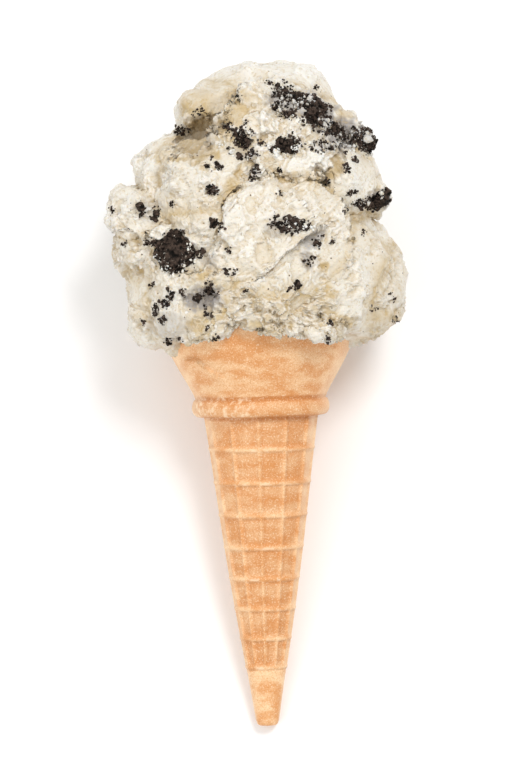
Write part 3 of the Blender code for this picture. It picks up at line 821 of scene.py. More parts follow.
@dataclass
class IceCream:
    """The ice cream: lumps that melt into each other, torn and scraped by the scoop."""

    lumps: tuple[Lump, ...] = LUMPS
    ledges: tuple[Ledge, ...] = tuple(LEDGES.values())
    smears: tuple[Smear, ...] = SMEARS
    shades: tuple[Smear, ...] = SHADES
    hollows: tuple[Smear, ...] = HOLLOWS

    # Where lumps meet: the width of the painted shade in the crevice, and how deep in a neighbour a surface
    # is left plain.
    crevice_width: float = 1.2
    hidden_depth: float = 3.0

    # The slabs' rims: torn by this noise, most of all at this height on their ball and this far about it.
    frills: tuple[Noise, ...] = (Noise(3.2, 71), Noise(0.9, 73, strength=0.45))
    rim_place: float = 0.25
    rim_width: float = 0.35

    # Torn surface: noise that shakes it, layers and islands with torn edges, patches, and granules.
    shake: Noise = Noise(1.1, 33, strength=0.8, seed_step=7)
    layers: Noise = Noise(9.0, 5)
    layer_levels: Pair = (0.0, 0.2)
    layer_run: float = 6.0
    # layer_tint: how strongly the layers' cracks take painted shade and their rims painted highlight.
    layer_tint: float = 1.4
    islands: Noise = Noise(3.6, 15)
    island_levels: Pair = (0.08, -0.2)
    island_run: float = 2.8
    patches: Noise = Noise(7.0, 15, 1)
    patch_edge: Pair = (-0.25, 0.2)
    patch_loss: float = 0.75
    granule_cell: float = 1.3
    granule_seed: int = 47
    granule_height: float = 0.8
    granule_sink: float = 0.65
    fine: Noise = Noise(1.0, 81, strength=0.14)

    # Towards the top, between these heights, the surface gets this much calmer.
    calm_top: float = 0.6
    calm_heights: Pair = (168.0, 178.0)

    # Scraped lines: their length, depth and width in millimetres, and their noise.
    scrape_sizes: Triple = (9.0, 3.0, 0.9)
    scrape: Noise = Noise(1.0, 61)

    # Outlines of the hollows and of the smears, and how much painted shade goes on crevices, low places and
    # cracks.
    hollow_edge: Noise = Noise(3.0, 57, 3, 0.25)
    smear_edge: Noise = Noise(2.4, 51, 3, 0.6)
    low_levels: Pair = (-1.0, 0.0)
    crevice_tint: float = 0.8
    low_tint: float = 0.25
    crack_tint: float = 0.6

    surfaces: dict[Region, Surface] = field(default_factory=dict)

    def melted(self, lump: Lump, surface: Surface) -> np.ndarray:
        """Fill the crease along each neighbour: near its surface, move out by blend/4 (1 - distance/blend)^2.

        Args:
            lump: the lump that the surface belongs to.
            surface: its surface before it is warped; its points move.

        Returns:
            Which points aren't hidden deep inside a neighbour.
        """
        reach = np.zeros(len(surface.points))
        crevice = np.zeros(len(surface.points))
        outside = np.full(len(surface.points), np.inf)
        for other in self.lumps:
            apart = math.dist(other.centre, lump.centre)
            if other is lump or apart > lump.reach() + other.reach():
                continue
            distance = other.distance(surface.points)
            blend = min(lump.texture.blend, other.texture.blend)
            near = np.maximum(1 - np.abs(distance) / blend, 0)
            reach = np.maximum(reach, blend / 4 * near**2)
            # Painted shade: how near a neighbour's surface each point lies, for the crease's darker colour.
            crevice = np.maximum(crevice, np.exp(-np.abs(distance) / self.crevice_width))
            outside = np.minimum(outside, distance)
        surface.points += surface.normals() * reach[:, None]
        surface.values["crevice"] = crevice
        return outside > -self.hidden_depth

    def frilled(self, lump: Lump, surface: Surface, ball: np.ndarray) -> None:
        """Tear the rim in and out: near the rim, move along the slab's plane by noise."""
        if lump.texture.frill == 0:
            return
        local = lump.local(surface.points)
        flat = local * (1, 0, 1)
        away = flat / np.maximum(np.linalg.norm(flat, axis=1, keepdims=True), TINY)
        rim = np.exp(-((ball[:, 1] - self.rim_place) / self.rim_width) ** 2)
        tear = summed(self.frills, surface.points)
        surface.points[:] = lump.placed(local + away * (lump.texture.frill * rim * tear)[:, None])

    def stepped(self, surface: Surface) -> None:
        """Add the named torn edges and the hollows of the front, with painted shade at the edges' feet and
        painted highlight on their rims.
        """
        rise = np.zeros(len(surface.points))
        painted_shade = surface.values["crevice"]
        rim = np.zeros(len(surface.points))
        for ledge in self.ledges:
            more, foot, top = ledge.step(surface.points)
            rise += more
            painted_shade = np.maximum(painted_shade, foot)
            rim = np.maximum(rim, top)
        depth = tone(self.hollows, surface.points, self.hollow_edge.at(surface.points))
        surface.points = surface.points + surface.normals() * rise[:, None] + depth[:, None] * (0, 1, 0)
        surface.values["crevice"] = painted_shade
        surface.values["rim"] = rim

    def scraped(self, lump: Lump, points: np.ndarray) -> np.ndarray:
        """Noise drawn out into lines along the lump, turned by its scrape_turn."""
        turn = math.radians(lump.texture.scrape_turn)
        x, y, z = lump.local(points).T
        along = math.cos(turn) * x - math.sin(turn) * z
        across = math.sin(turn) * x + math.cos(turn) * z
        return self.scrape.at(np.stack((along, y, across), -1) / self.scrape_sizes)

    def relief(self, lump: Lump, points: np.ndarray) -> tuple[np.ndarray, np.ndarray, np.ndarray]:
        """Fine relief: torn layers, islands in torn patches, granules and scraped lines.

        Args:
            lump: the lump that the points belong to.
            points: its surface, one row a point.

        Returns:
            The height in millimetres, and how much of a crack and of a rim there is, from 0 to 1.
        """
        texture = lump.texture
        bent = points + self.shake.push(points)
        torn = texture.torn * (1 - self.calm_top * smoothstep(*self.calm_heights, points[:, 2]))
        patch = smoothstep(*self.patch_edge, self.patches.at(points)) + torn - self.patch_loss
        patch = np.clip(patch, 0, 1) * np.maximum(torn, 1)
        granules = granule_noise(bent, self.granule_cell, self.granule_seed)
        height = self.fine.at(points)
        height += patch * (self.granule_height * granules - self.granule_sink)
        height += texture.streak * self.scraped(lump, points)
        crack = np.zeros(len(points))
        rim = np.zeros(len(points))
        layer_share = min(self.layer_tint * texture.ledge, 1)
        for noise, levels, run, rise, share in (
            (self.layers, self.layer_levels, self.layer_run, texture.ledge, layer_share),
            (self.islands, self.island_levels, self.island_run, patch, np.minimum(patch, 1)),
        ):
            contours = noise.at(bent)
            for level in levels:
                edge = torn_edge((contours - level) * run)
                height += rise * (edge.step - 0.5)
                crack = np.maximum(crack, share * edge.crack)
                rim = np.maximum(rim, share * edge.rim)
        return height, crack, rim

    def weathered(self, lump: Lump, surface: Surface, shown: np.ndarray) -> None:
        """Add the fine relief along the normals, paint shade on what lies low and in cracks, and add the
        smears and the painted shades.
        """
        points = surface.points
        relief = np.zeros(len(points))
        crack = np.zeros(len(points))
        rim = np.zeros(len(points))
        relief[shown], crack[shown], rim[shown] = self.relief(lump, points[shown])
        surface.points = points + surface.normals() * relief[:, None]
        low = 1 - smoothstep(*self.low_levels, relief)
        ragged = self.smear_edge.at(points)
        # Painted shade: crevices, low places and cracks, plus the listed shades.
        deep = self.crevice_tint * surface.values["crevice"] + self.low_tint * low + self.crack_tint * crack
        surface.values["crevice"] = np.clip(deep + tone(self.shades, points, ragged), 0, 1)
        surface.values["rim"] = np.maximum(surface.values["rim"], rim)
        surface.values["dust_and_shade"] = tone(self.smears, points, ragged)

    def lump_surface(self, lump: Lump) -> Surface:
        """The finished surface of one lump."""
        ball = lump.ball()
        quads, triangles = polar_faces(len(lump.rows()), lump.columns())
        points = lump.placed(squared(ball, lump.squareness) * lump.half_sizes)
        surface = Surface(points, quads, triangles).turned_out()
        shown = self.melted(lump, surface)
        if isinstance(lump, Slab):
            self.frilled(lump, surface, ball)
        surface.points = warped(surface.points)
        self.stepped(surface)
        self.weathered(lump, surface, shown)
        LOG.debug("lump %s: %d points", lump.name, len(surface.points))
        return surface

    def build(self) -> None:
        """Work out every lump and join them by region."""
        for region in Region:
            mine = [self.lump_surface(lump) for lump in self.lumps if lump.region is region]
            self.surfaces[region] = joined(mine)

    def whole(self) -> Surface:
        """All regions in one surface."""
        return joined(list(self.surfaces.values()))

    def dress(self, lying: Lying, material: bpy.types.Material) -> None:
        """Make the objects, in place of the solid."""
        for region, surface in self.surfaces.items():
            made = mesh_object(region.value, surface, lying, material)
            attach(made, BODY)
            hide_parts("ice_cream")


# ---------- Materials ----------


class NodeSheet:
    """A node tree that is filled in from the left."""

    def __init__(self, tree: bpy.types.NodeTree) -> None:
        """Take the tree to fill in."""
        self.tree = tree

    def add(self, kind: str, settings: dict | None = None, **inputs: object) -> bpy.types.Node:
        """Add a node.

        Args:
            kind: the node's type.
            settings: properties of the node itself.
            **inputs: value or output socket for each input, its name with _ for a space.

        Returns:
            The node.
        """
        made = self.tree.nodes.new(kind)
        for name, value in (settings or {}).items():
            setattr(made, name, value)
        for name, value in inputs.items():
            self.feed(made.inputs[name.replace("_", " ")], value)
        return made

    def feed(self, socket: bpy.types.NodeSocket, value: object) -> None:
        """Give a socket a value, or a link from an output socket."""
        if isinstance(value, bpy.types.NodeSocket):
            self.tree.links.new(value, socket)
        else:
            socket.default_value = value

    def attribute(self, name: str) -> bpy.types.NodeSocket:
        """Read a value that is stored at the vertices."""
        return self.add("ShaderNodeAttribute", {"attribute_name": name}).outputs["Fac"]

    def group(self, tree: bpy.types.NodeTree, **inputs: object) -> bpy.types.Node:
        """Place one of the shared groups."""
        return self.add("ShaderNodeGroup", {"node_tree": tree}, **inputs)

    def bump(self, height: object, strength: float, millimetres: float) -> bpy.types.NodeSocket:
        """Bend the normal by a height from 0 to 1, as high as given."""
        made = self.add("ShaderNodeBump", Height=height, Strength=strength, Distance=millimetres * MM)
        return made.outputs["Normal"]

    def mix(self, share: object, low: object, high: object) -> bpy.types.NodeSocket:
        """Mix two colours by a share."""
        made = self.tree.nodes.new("ShaderNodeMix")
        made.data_type = "RGBA"
        self.feed(made.inputs["Factor"], share)
        self.feed(made.inputs["A"], low)
        self.feed(made.inputs["B"], high)
        return made.outputs["Result"]

    def math(self, operation: str, *values: object) -> bpy.types.NodeSocket:
        """Work out a sum or the like of one to three values."""
        made = self.tree.nodes.new("ShaderNodeMath")
        made.operation = operation
        for socket, value in zip(made.inputs, values):
            self.feed(socket, value)
        return made.outputs[0]

    def ramp(self, value: object, low: float, high: float) -> bpy.types.NodeSocket:
        """Map low..high to 0..1 with smooth ends."""
        made = self.add("ShaderNodeMapRange", {"interpolation_type": "SMOOTHSTEP"}, Value=value)
        made.inputs["From Min"].default_value = low
        made.inputs["From Max"].default_value = high
        return made.outputs["Result"]


def colour(red: float, green: float, blue: float) -> Colour:
    """A solid colour with its alpha."""
    return red, green, blue, 1.0


def new_group(name: str, inputs: dict[str, object], outputs: dict[str, str]) -> tuple[NodeSheet, dict, dict]:
    """Start a shader node group.

    Args:
        name: name of the group.
        inputs: for each input its default: a float, a colour or None for a vector.
        outputs: for each output its socket type.

    Returns:
        The sheet, its input sockets by name and its output sockets by name.
    """
    tree = bpy.data.node_groups.new(name, "ShaderNodeTree")
    for label, value in inputs.items():
        kind = {float: "NodeSocketFloat", tuple: "NodeSocketColor"}.get(type(value), "NodeSocketVector")
        socket = tree.interface.new_socket(label, in_out="INPUT", socket_type=kind)
        if value is not None:
            socket.default_value = value
    for label, kind in outputs.items():
        tree.interface.new_socket(label, in_out="OUTPUT", socket_type=kind)
    entry = tree.nodes.new("NodeGroupInput")
    leave = tree.nodes.new("NodeGroupOutput")
    taken = {label: entry.outputs[label] for label in inputs}
    given = {label: leave.inputs[label] for label in outputs}
    return NodeSheet(tree), taken, given


def specks_group() -> bpy.types.NodeTree:
    """Small spots: cells whose random number is under the share, filled near their middle."""
    sheet, taken, given = new_group(
        "specks", {"Vector": None, "Scale": 900.0, "Share": 0.1, "Size": 0.35}, {"Mask": "NodeSocketFloat"})
    cells = sheet.add("ShaderNodeTexVoronoi", Vector=taken["Vector"], Scale=taken["Scale"])
    chosen = sheet.add("ShaderNodeSeparateColor", Color=cells.outputs["Color"])
    drawn = sheet.math("LESS_THAN", chosen.outputs["Red"], taken["Share"])
    inside = sheet.math("LESS_THAN", cells.outputs["Distance"], taken["Size"])
    sheet.feed(given["Mask"], sheet.math("MULTIPLY", drawn, inside))
    return sheet.tree


# Mottling turns from its low to its high colour between these levels of the noise.
MOTTLE_LEVELS = (0.35, 0.65)


def mottle_group() -> bpy.types.NodeTree:
    """Soft patches of two colours, from layered noise."""
    sheet, taken, given = new_group(
        "mottle", {"Vector": None, "Scale": 200.0, "Low": colour(0, 0, 0), "High": colour(1, 1, 1)},
        {"Color": "NodeSocketColor"})
    noise = sheet.add("ShaderNodeTexNoise", Vector=taken["Vector"], Scale=taken["Scale"], Detail=5.0)
    share = sheet.ramp(noise.outputs["Fac"], *MOTTLE_LEVELS)
    sheet.feed(given["Color"], sheet.mix(share, taken["Low"], taken["High"]))
    return sheet.tree


def grain_group() -> bpy.types.NodeTree:
    """Height of a fine grain: layered noise times its depth."""
    sheet, taken, given = new_group(
        "grain", {"Vector": None, "Scale": 1000.0, "Depth": 1.0}, {"Height": "NodeSocketFloat"})
    noise = sheet.add("ShaderNodeTexNoise", Vector=taken["Vector"], Scale=taken["Scale"], Detail=3.0)
    sheet.feed(given["Height"], sheet.math("MULTIPLY", noise.outputs["Fac"], taken["Depth"]))
    return sheet.tree


@dataclass(frozen=True)
class Finishes:
    """The shared node groups."""

    specks: bpy.types.NodeTree
    mottle: bpy.types.NodeTree
    grain: bpy.types.NodeTree

    @classmethod
    def make(cls) -> "Finishes":
        """Build each group once."""
        return cls(specks_group(), mottle_group(), grain_group())


def start_material(name: str) -> tuple[bpy.types.Material, NodeSheet, bpy.types.Node, bpy.types.NodeSocket]:
    """Start a Principled material; also gives its sheet, its shader and the Object coordinates."""
    made = bpy.data.materials.new(name)
    made.use_nodes = True
    sheet = NodeSheet(made.node_tree)
    shader = made.node_tree.nodes["Principled BSDF"]
    place = sheet.add("ShaderNodeTexCoord").outputs["Object"]
    return made, sheet, shader, place


@dataclass(frozen=True)
class CreamFinish:
    """Frozen cream: pale and soft, dusted grey near the biscuit, with painted warm shade in its creases,
    cracks, low and deep places and fine pits, and painted highlight along torn rims.
    """

    light: Colour = colour(0.86, 0.845, 0.79)
    warm: Colour = colour(0.825, 0.793, 0.72)
    # Painted shade: the warm darker colour laid on creases, cracks, low and deep places and fine pits.
    painted_shade: Colour = colour(0.54, 0.385, 0.165)
    # Painted highlight: the pale colour laid along the rims of torn edges.
    frost: Colour = colour(0.95, 0.94, 0.91)
    dust_and_shade: Colour = colour(0.30, 0.275, 0.265)
    fleck: Colour = colour(0.10, 0.06, 0.035)
    painted_shade_share: float = 0.9
    highlight_share: float = 0.7
    pit_share: float = 0.5
    pit_levels: Pair = (0.47, 0.3)
    roughness: float = 0.55
    soft_share: float = 0.15
    soft_reach: Triple = (1.0, 0.8, 0.5)
    soft_millimetres: float = 0.6

    def material(self, groups: Finishes) -> bpy.types.Material:
        """Build the material."""
        made, sheet, shader, place = start_material("cream")
        mottle = sheet.group(groups.mottle, Vector=place, Scale=160.0, Low=self.light, High=self.warm)
        # Painted shade: the crevice value says how much of the shade colour goes on.
        crevice = sheet.math("MULTIPLY", sheet.attribute("crevice"), self.painted_shade_share)
        # Painted highlight along the rims of torn edges.
        rim = sheet.math("MULTIPLY", sheet.attribute("rim"), self.highlight_share)
        shaded = sheet.mix(crevice, mottle.outputs["Color"], self.painted_shade)
        highlighted = sheet.mix(rim, shaded, self.frost)
        # Grey dust of ground biscuit, and painted shade in the recess.
        dusted_and_shaded = sheet.mix(sheet.attribute("dust_and_shade"), highlighted, self.dust_and_shade)
        flecks = sheet.group(groups.specks, Vector=place, Scale=700.0, Share=0.06, Size=0.16)
        spotted = sheet.mix(flecks.outputs["Mask"], dusted_and_shaded, self.fleck)
        grain = sheet.group(groups.grain, Vector=place, Scale=1100.0, Depth=1.0).outputs["Height"]
        # Painted shade in the fine pits of the grain.
        pitted = sheet.math("MULTIPLY", sheet.ramp(grain, *self.pit_levels), self.pit_share)
        sheet.feed(shader.inputs["Base Color"], sheet.mix(pitted, spotted, self.painted_shade))
        sheet.feed(shader.inputs["Normal"], sheet.bump(grain, 1.0, 0.5))
        shader.inputs["Roughness"].default_value = self.roughness
        shader.inputs["Subsurface Weight"].default_value = self.soft_share
        shader.inputs["Subsurface Radius"].default_value = self.soft_reach
        shader.inputs["Subsurface Scale"].default_value = self.soft_millimetres * MM
        return made


@dataclass(frozen=True)
class BiscuitFinish:
    """Dark porous biscuit with brown grains and smears of cream."""

    dark: Colour = colour(0.004, 0.003, 0.002)
    brown: Colour = colour(0.078, 0.053, 0.04)
    smear: Colour = colour(0.50, 0.46, 0.40)
    smear_levels: Pair = (0.88, 0.94)
    patch_share: float = 0.5
    creamy_share: float = 0.1
    roughness: float = 0.75
    gloss: float = 0.12

    def material(self, groups: Finishes) -> bpy.types.Material:
        """Build the material."""
        made, sheet, shader, place = start_material("biscuit")
        mottle = sheet.group(groups.mottle, Vector=place, Scale=900.0, Low=self.dark, High=self.brown)
        smears = sheet.add("ShaderNodeTexNoise", Vector=place, Scale=1200.0, Detail=4.0).outputs["Fac"]
        patches = sheet.add("ShaderNodeTexNoise", Vector=place, Scale=140.0, Detail=1.0).outputs["Fac"]
        level = sheet.math("MULTIPLY_ADD", patches, self.patch_share, smears)
        level = sheet.math("MULTIPLY_ADD", sheet.attribute("creamy"), self.creamy_share, level)
        base = sheet.mix(sheet.ramp(level, *self.smear_levels), mottle.outputs["Color"], self.smear)
        sheet.feed(shader.inputs["Base Color"], base)
        grain = sheet.group(groups.grain, Vector=place, Scale=1800.0, Depth=1.0).outputs["Height"]
        sheet.feed(shader.inputs["Normal"], sheet.bump(grain, 0.7, 0.3))
        shader.inputs["Roughness"].default_value = self.roughness
        shader.inputs["Specular IOR Level"].default_value = self.gloss
        return made


@dataclass(frozen=True)
class WaferFinish:
    """Baked wafer: orange-tan, with pale veins, specks and dark pits; painted shade in its pressed recesses
    and on its front, painted highlight on its sides and rings.
    """

    tan: Colour = colour(0.77, 0.35, 0.12)
    pale: Colour = colour(0.95, 0.62, 0.34)
    # Dark baked colour, for the baked pits and for painted shade.
    baked_and_shade: Colour = colour(0.58, 0.22, 0.055)
    crumb: Colour = colour(0.98, 0.76, 0.52)
    pit_levels: Pair = (0.5, 0.32)
    pit_share: float = 0.45
    crumb_levels: Pair = (0.52, 0.7)
    crumb_share: float = 0.6
    vein_stretch: Triple = (0.45, 1.0, 0.45)
    roughness: float = 0.6

    def material(self, groups: Finishes) -> bpy.types.Material:
        """Build the material."""
        made, sheet, shader, place = start_material("wafer")
        stretched = sheet.add("ShaderNodeMapping", Vector=place, Scale=self.vein_stretch).outputs["Vector"]
        mottle = sheet.group(groups.mottle, Vector=stretched, Scale=330.0, Low=self.tan, High=self.pale)
        fine = sheet.add("ShaderNodeTexNoise", Vector=place, Scale=2600.0, Detail=3.0).outputs["Fac"]
        pits = sheet.math("MULTIPLY", sheet.ramp(fine, *self.pit_levels), self.pit_share)
        crumbs = sheet.math("MULTIPLY", sheet.ramp(fine, *self.crumb_levels), self.crumb_share)
        # Painted shade: the deep value darkens sunk panels, strips beside the ribs, the bead's edges and the
        # cup's front.
        toned = sheet.mix(sheet.attribute("deep"), mottle.outputs["Color"], self.baked_and_shade)
        pitted = sheet.mix(pits, toned, self.baked_and_shade)
        crumbed = sheet.mix(crumbs, pitted, self.crumb)
        # Painted highlight on the sides and ring edges, and the bead's pale patches, in the crumb colour.
        sheet.feed(shader.inputs["Base Color"], sheet.mix(sheet.attribute("frost"), crumbed, self.crumb))
        grain = sheet.group(groups.grain, Vector=place, Scale=1500.0, Depth=1.0).outputs["Height"]
        sheet.feed(shader.inputs["Normal"], sheet.bump(grain, 0.8, 0.3))
        shader.inputs["Roughness"].default_value = self.roughness
        return made


# ---------- Wafer cone ----------


# Rows of points along the parts of the wafer's outline; the inside of the cup keeps one row in INSIDE_STEP.
TIP_ROWS = 6
TAPER_ROWS = 236
BEAD_ROWS = 15
CUP_ROWS = 52
INSIDE_STEP = 6


@dataclass(frozen=True)
class Wave:
    """A sine round the cone: how many waves, how far it is turned, and its strength."""

    count: int
    start: float
    strength: float

    def at(self, turn: np.ndarray) -> np.ndarray:
        """The sine at each turn."""
        return self.strength * np.sin(self.count * turn + self.start)


@dataclass(frozen=True)
class WaferPrint:
    """What is pressed in at each point of the wafer: rows are heights and columns are turns.

    crest and edge are a ring's crest and its lower edge, rib an upright rib and beside the strip next to it,
    on_taper is 1 where there are rings, and collar is 1 on the bead.
    """

    crest: np.ndarray
    edge: np.ndarray
    rib: np.ndarray
    beside: np.ndarray
    on_taper: np.ndarray
    collar: np.ndarray


@dataclass
class WaferCone:
    """The wafer: a flared cup, a bead, and a ribbed taper with rings, closed over its rim."""

    # The cup: its rim, its base, the power of its flare, its wall and its floor.
    height: float = 114.3
    rim_radius: float = 27.3
    cup_base_radius: float = 18.2
    cup_power: float = 1.15
    cup_wall: float = 2.0
    cup_floor: float = 93.0
    floor_radius: float = 5.0
    floor_round: float = 0.5

    # The bead, called collar: its size, its roundness, its soft ends and its waves.
    collar_radius: float = 19.1
    collar_top: float = 91.6
    collar_bottom: float = 86.4
    collar_power: float = 0.45
    collar_end: float = 0.1
    collar_core: float = 15.0
    collar_fade: float = 3.2
    collar_wave: float = 0.16
    collar_waves: tuple[Wave, ...] = (Wave(2, 0.6, 1.0), Wave(5, 0.0, 0.6), Wave(11, 0.0, 0.4))

    # The taper under it, and its round tip.
    taper_top_radius: float = 15.8
    taper_bulge: float = 0.5
    taper_gap: float = 0.15
    tip_radius: float = 3.0
    tip_round: float = 1.0
    tip_turn: float = 1.45

    # The rings and the upright ribs: how they are spread, how far they stand out, and how they rise and fall.
    ring_count: int = 8
    ring_pitch: float = 9.6
    ring_pitch_loss: float = 0.1
    ring_proud: float = 0.3
    ring_rise: Pair = (-0.25, 0.1)
    ring_fall: Pair = (0.5, 2.0)
    ring_edge: float = 0.35
    ring_start: float = 0.4
    panel_sunk: float = 0.55
    rib_count: int = 12
    rib_width: float = 1.1
    rib_proud: float = 0.15
    rib_turn: float = math.radians(-3)
    columns: int = 300

    # Painted shade, heaviest on the front a little to the right and fading to the sides: sunk panels, strips
    # beside the ribs, shadow lines at the bead's edges, the cup; the bead itself a little darker.
    shade_turn: float = math.radians(20)
    panel_tones: Pair = (0.18, 0.34)
    crest_pale: float = 0.8
    beside_tone: float = 0.7
    collar_tone: float = 0.4
    line_tone: float = 1.5
    line_width: float = 0.6
    line_drop: float = 0.3
    cup_tone: float = 0.22

    # Painted highlight: paler sides as seen from the front, and pale dashes on the front of the rings' edges;
    # also pale patches on the bead's left.
    side_pale: float = 0.4
    side_levels: Pair = (0.8, 0.98)
    front_levels: Pair = (0.5, 0.95)
    left_levels: Pair = (2.0, -6.0)
    dashes: Noise = Noise(2.2, 17)
    dash_levels: Pair = (0.05, 0.4)
    dash_pale: float = 0.75
    patches: Noise = Noise(1.2, 19)
    patch_levels: Pair = (0.0, 0.4)
    patch_pale: float = 0.8

    # The wafer's own fold on the left of the cup, with painted shade at its foot.
    cup_fold: Ledge = Ledge(
        ((-9.0, 97.0), (-13.0, 99.4), (-15.2, 101.2), (-17.5, 102.9), (-21.9, 103.3)), 1.3, 3.0, 0.15)
    fold_tone: float = 0.6

    surface: Surface | None = None

    def ring_height(self, index: np.ndarray) -> np.ndarray:
        """Height of a ring's lower edge; the pitch shrinks a little towards the tip."""
        return self.collar_bottom - self.ring_pitch * index + self.ring_pitch_loss * index**2

    def taper_radius(self, height: np.ndarray) -> np.ndarray:
        """Outer radius of the taper over its rings: a straight line with a slight belly."""
        share = height / self.collar_bottom
        straight = self.tip_radius + (self.taper_top_radius - self.tip_radius) * share
        return straight + self.taper_bulge * np.sin(math.pi * share) ** 2

    def foot(self) -> tuple[np.ndarray, np.ndarray]:
        """(radius, height) of the round tip, and of the taper up to the bead."""
        turn = np.linspace(0, self.tip_turn, TIP_ROWS)
        middle = self.tip_radius - self.tip_round
        tip = np.stack((middle + self.tip_round * np.sin(turn), self.tip_round * (1 - np.cos(turn))), -1)
        low = np.linspace(self.tip_round, self.collar_bottom - self.taper_gap, TAPER_ROWS)
        return tip, np.stack((self.taper_radius(low), low), -1)[1:]

    def bead(self) -> np.ndarray:
        """(radius, height) of the bead: half a flat ring, up to where the cup starts."""
        turn = np.linspace(-math.pi / 2, math.pi / 2, BEAD_ROWS)
        middle = (self.collar_top + self.collar_bottom) / 2
        half = (self.collar_top - self.collar_bottom) / 2
        proud = self.collar_radius - self.taper_top_radius
        radius = self.taper_top_radius + proud * np.cos(turn) ** self.collar_power
        bead = np.stack((radius, middle + half * np.sin(turn)), -1)
        return bead[bead[:, 1] < self.collar_top - self.collar_end]

    def cup(self) -> tuple[np.ndarray, np.ndarray, np.ndarray]:
        """(radius, height) of the cup's outside, of its inside and of its floor."""
        share = np.linspace(1, 0, CUP_ROWS)
        flare = np.cos(share * math.pi / 2) ** self.cup_power
        radius = self.cup_base_radius + (self.rim_radius - self.cup_base_radius) * flare
        outside = np.stack((radius, self.height + (self.collar_top - self.height) * share), -1)
        inside = outside[::-INSIDE_STEP] - (self.cup_wall, 0)
        inside = inside[inside[:, 1] > self.cup_floor]
        widest = inside[-1, 0] - self.floor_round
        return outside, inside, np.array(((widest, self.cup_floor), (self.floor_radius, self.cup_floor)))

    def outline(self) -> tuple[np.ndarray, np.ndarray]:
        """(radius, height) from the tip's middle up the outside, over the rim and down to the cup's floor."""
        radius, height = np.concatenate((*self.foot(), self.bead(), *self.cup())).T
        return radius, height

    def ring_crests(self, height: np.ndarray) -> tuple[np.ndarray, np.ndarray]:
        """For each height how much of a ring's crest is there, and how near its lower edge it is."""
        above = height[:, None] - self.ring_height(np.arange(1, self.ring_count + 1))
        crest = smoothstep(*self.ring_rise, above) * (1 - smoothstep(*self.ring_fall, above))
        edge = np.exp(-(((above - self.ring_edge) / self.ring_edge) ** 2))
        return crest.max(axis=1)[:, None], edge.max(axis=1)[:, None]

    def ribs(self, radius: np.ndarray, turn: np.ndarray) -> tuple[np.ndarray, np.ndarray]:
        """How much of an upright rib is at each point, and of the strip next to it."""
        share = (turn - self.rib_turn) / (math.tau / self.rib_count)
        aside = (share - np.round(share)) * math.tau / self.rib_count
        distance = aside[None, :] * radius[:, None]
        half = self.rib_width / 2
        return np.exp(-((distance / half) ** 2)), np.exp(-(((distance - self.rib_width) / half) ** 2))

    def pressed(self, radius: np.ndarray, height: np.ndarray, turn: np.ndarray) -> WaferPrint:
        """Find what is pressed in at each point."""
        lowest = self.ring_height(self.ring_count)
        on_taper = smoothstep(lowest - self.ring_start, lowest, height) * (height < self.collar_bottom)
        above_middle = height - self.collar_bottom / 2 - self.collar_top / 2
        collar = np.exp(-((above_middle / self.collar_fade) ** 4))
        crest, edge = self.ring_crests(height)
        return WaferPrint(crest, edge, *self.ribs(radius, turn), on_taper[:, None], collar[:, None])

    def relief(self, found: WaferPrint) -> np.ndarray:
        """How far each point stands out: the panels between the rings and the ribs are sunk."""
        rings = -self.panel_sunk + (self.panel_sunk + self.ring_proud) * found.crest
        ribs = -self.panel_sunk + (self.panel_sunk + self.rib_proud) * found.rib
        return np.maximum(rings, ribs) * found.on_taper

    def deep(self, found: WaferPrint, radius: np.ndarray, height: np.ndarray, turn: np.ndarray) -> np.ndarray:
        """How much painted shade there is, from 0 to 1: the sunk panels, beside the ribs, lines at the bead's
        edges and the cup's front; also the bead's own darker tone.
        """
        # Painted shade is heaviest on the front, a little to the right, and fades towards the sides.
        side = 0.5 + 0.5 * np.cos(turn - self.shade_turn)
        low, more = self.panel_tones
        panel = (1 - self.crest_pale * np.maximum(found.crest, found.rib)) * (low + more * side**2)
        beside = self.beside_tone * found.beside * side * (1 - found.crest)
        taper = found.on_taper * np.maximum(panel, beside)
        lines = (height - self.collar_top, height - self.collar_bottom + self.line_drop)
        shadow = sum(np.exp(-((line / self.line_width) ** 2)) for line in lines)[:, None]
        bead = np.clip(self.collar_tone * found.collar + self.line_tone * shadow, 0, 1)
        bead = bead * (radius > self.collar_core)[:, None]
        # Painted shade on the front of the cup.
        cup = self.cup_tone * side**2 * (height > self.collar_top)[:, None]
        return np.maximum(np.maximum(taper, bead), cup)

    def build(self) -> None:
        """Work out the surface: the outline turned about the axis, with rings and ribs pressed in."""
        radius, height = self.outline()
        turn = np.linspace(0, math.tau, self.columns, endpoint=False)
        found = self.pressed(radius, height, turn)
        full = radius[:, None] + self.relief(found)
        wave = self.collar_wave * sum(wave.at(turn) for wave in self.collar_waves)
        lifted = height[:, None] + found.collar * wave
        rings = np.stack((full * np.sin(turn), -full * np.cos(turn), lifted), -1).reshape(-1, 3)
        points = np.concatenate(([(0, 0, 0)], rings, [(0, 0, self.cup_floor)]))
        grids = {"deep": self.deep(found, radius, height, turn), "frost": self.frost(rings, found)}
        values = {name: np.concatenate(([0], grid.ravel(), [0])) for name, grid in grids.items()}
        self.surface = Surface(points, *polar_faces(len(height), self.columns), values).turned_out()
        self.fold_cup()

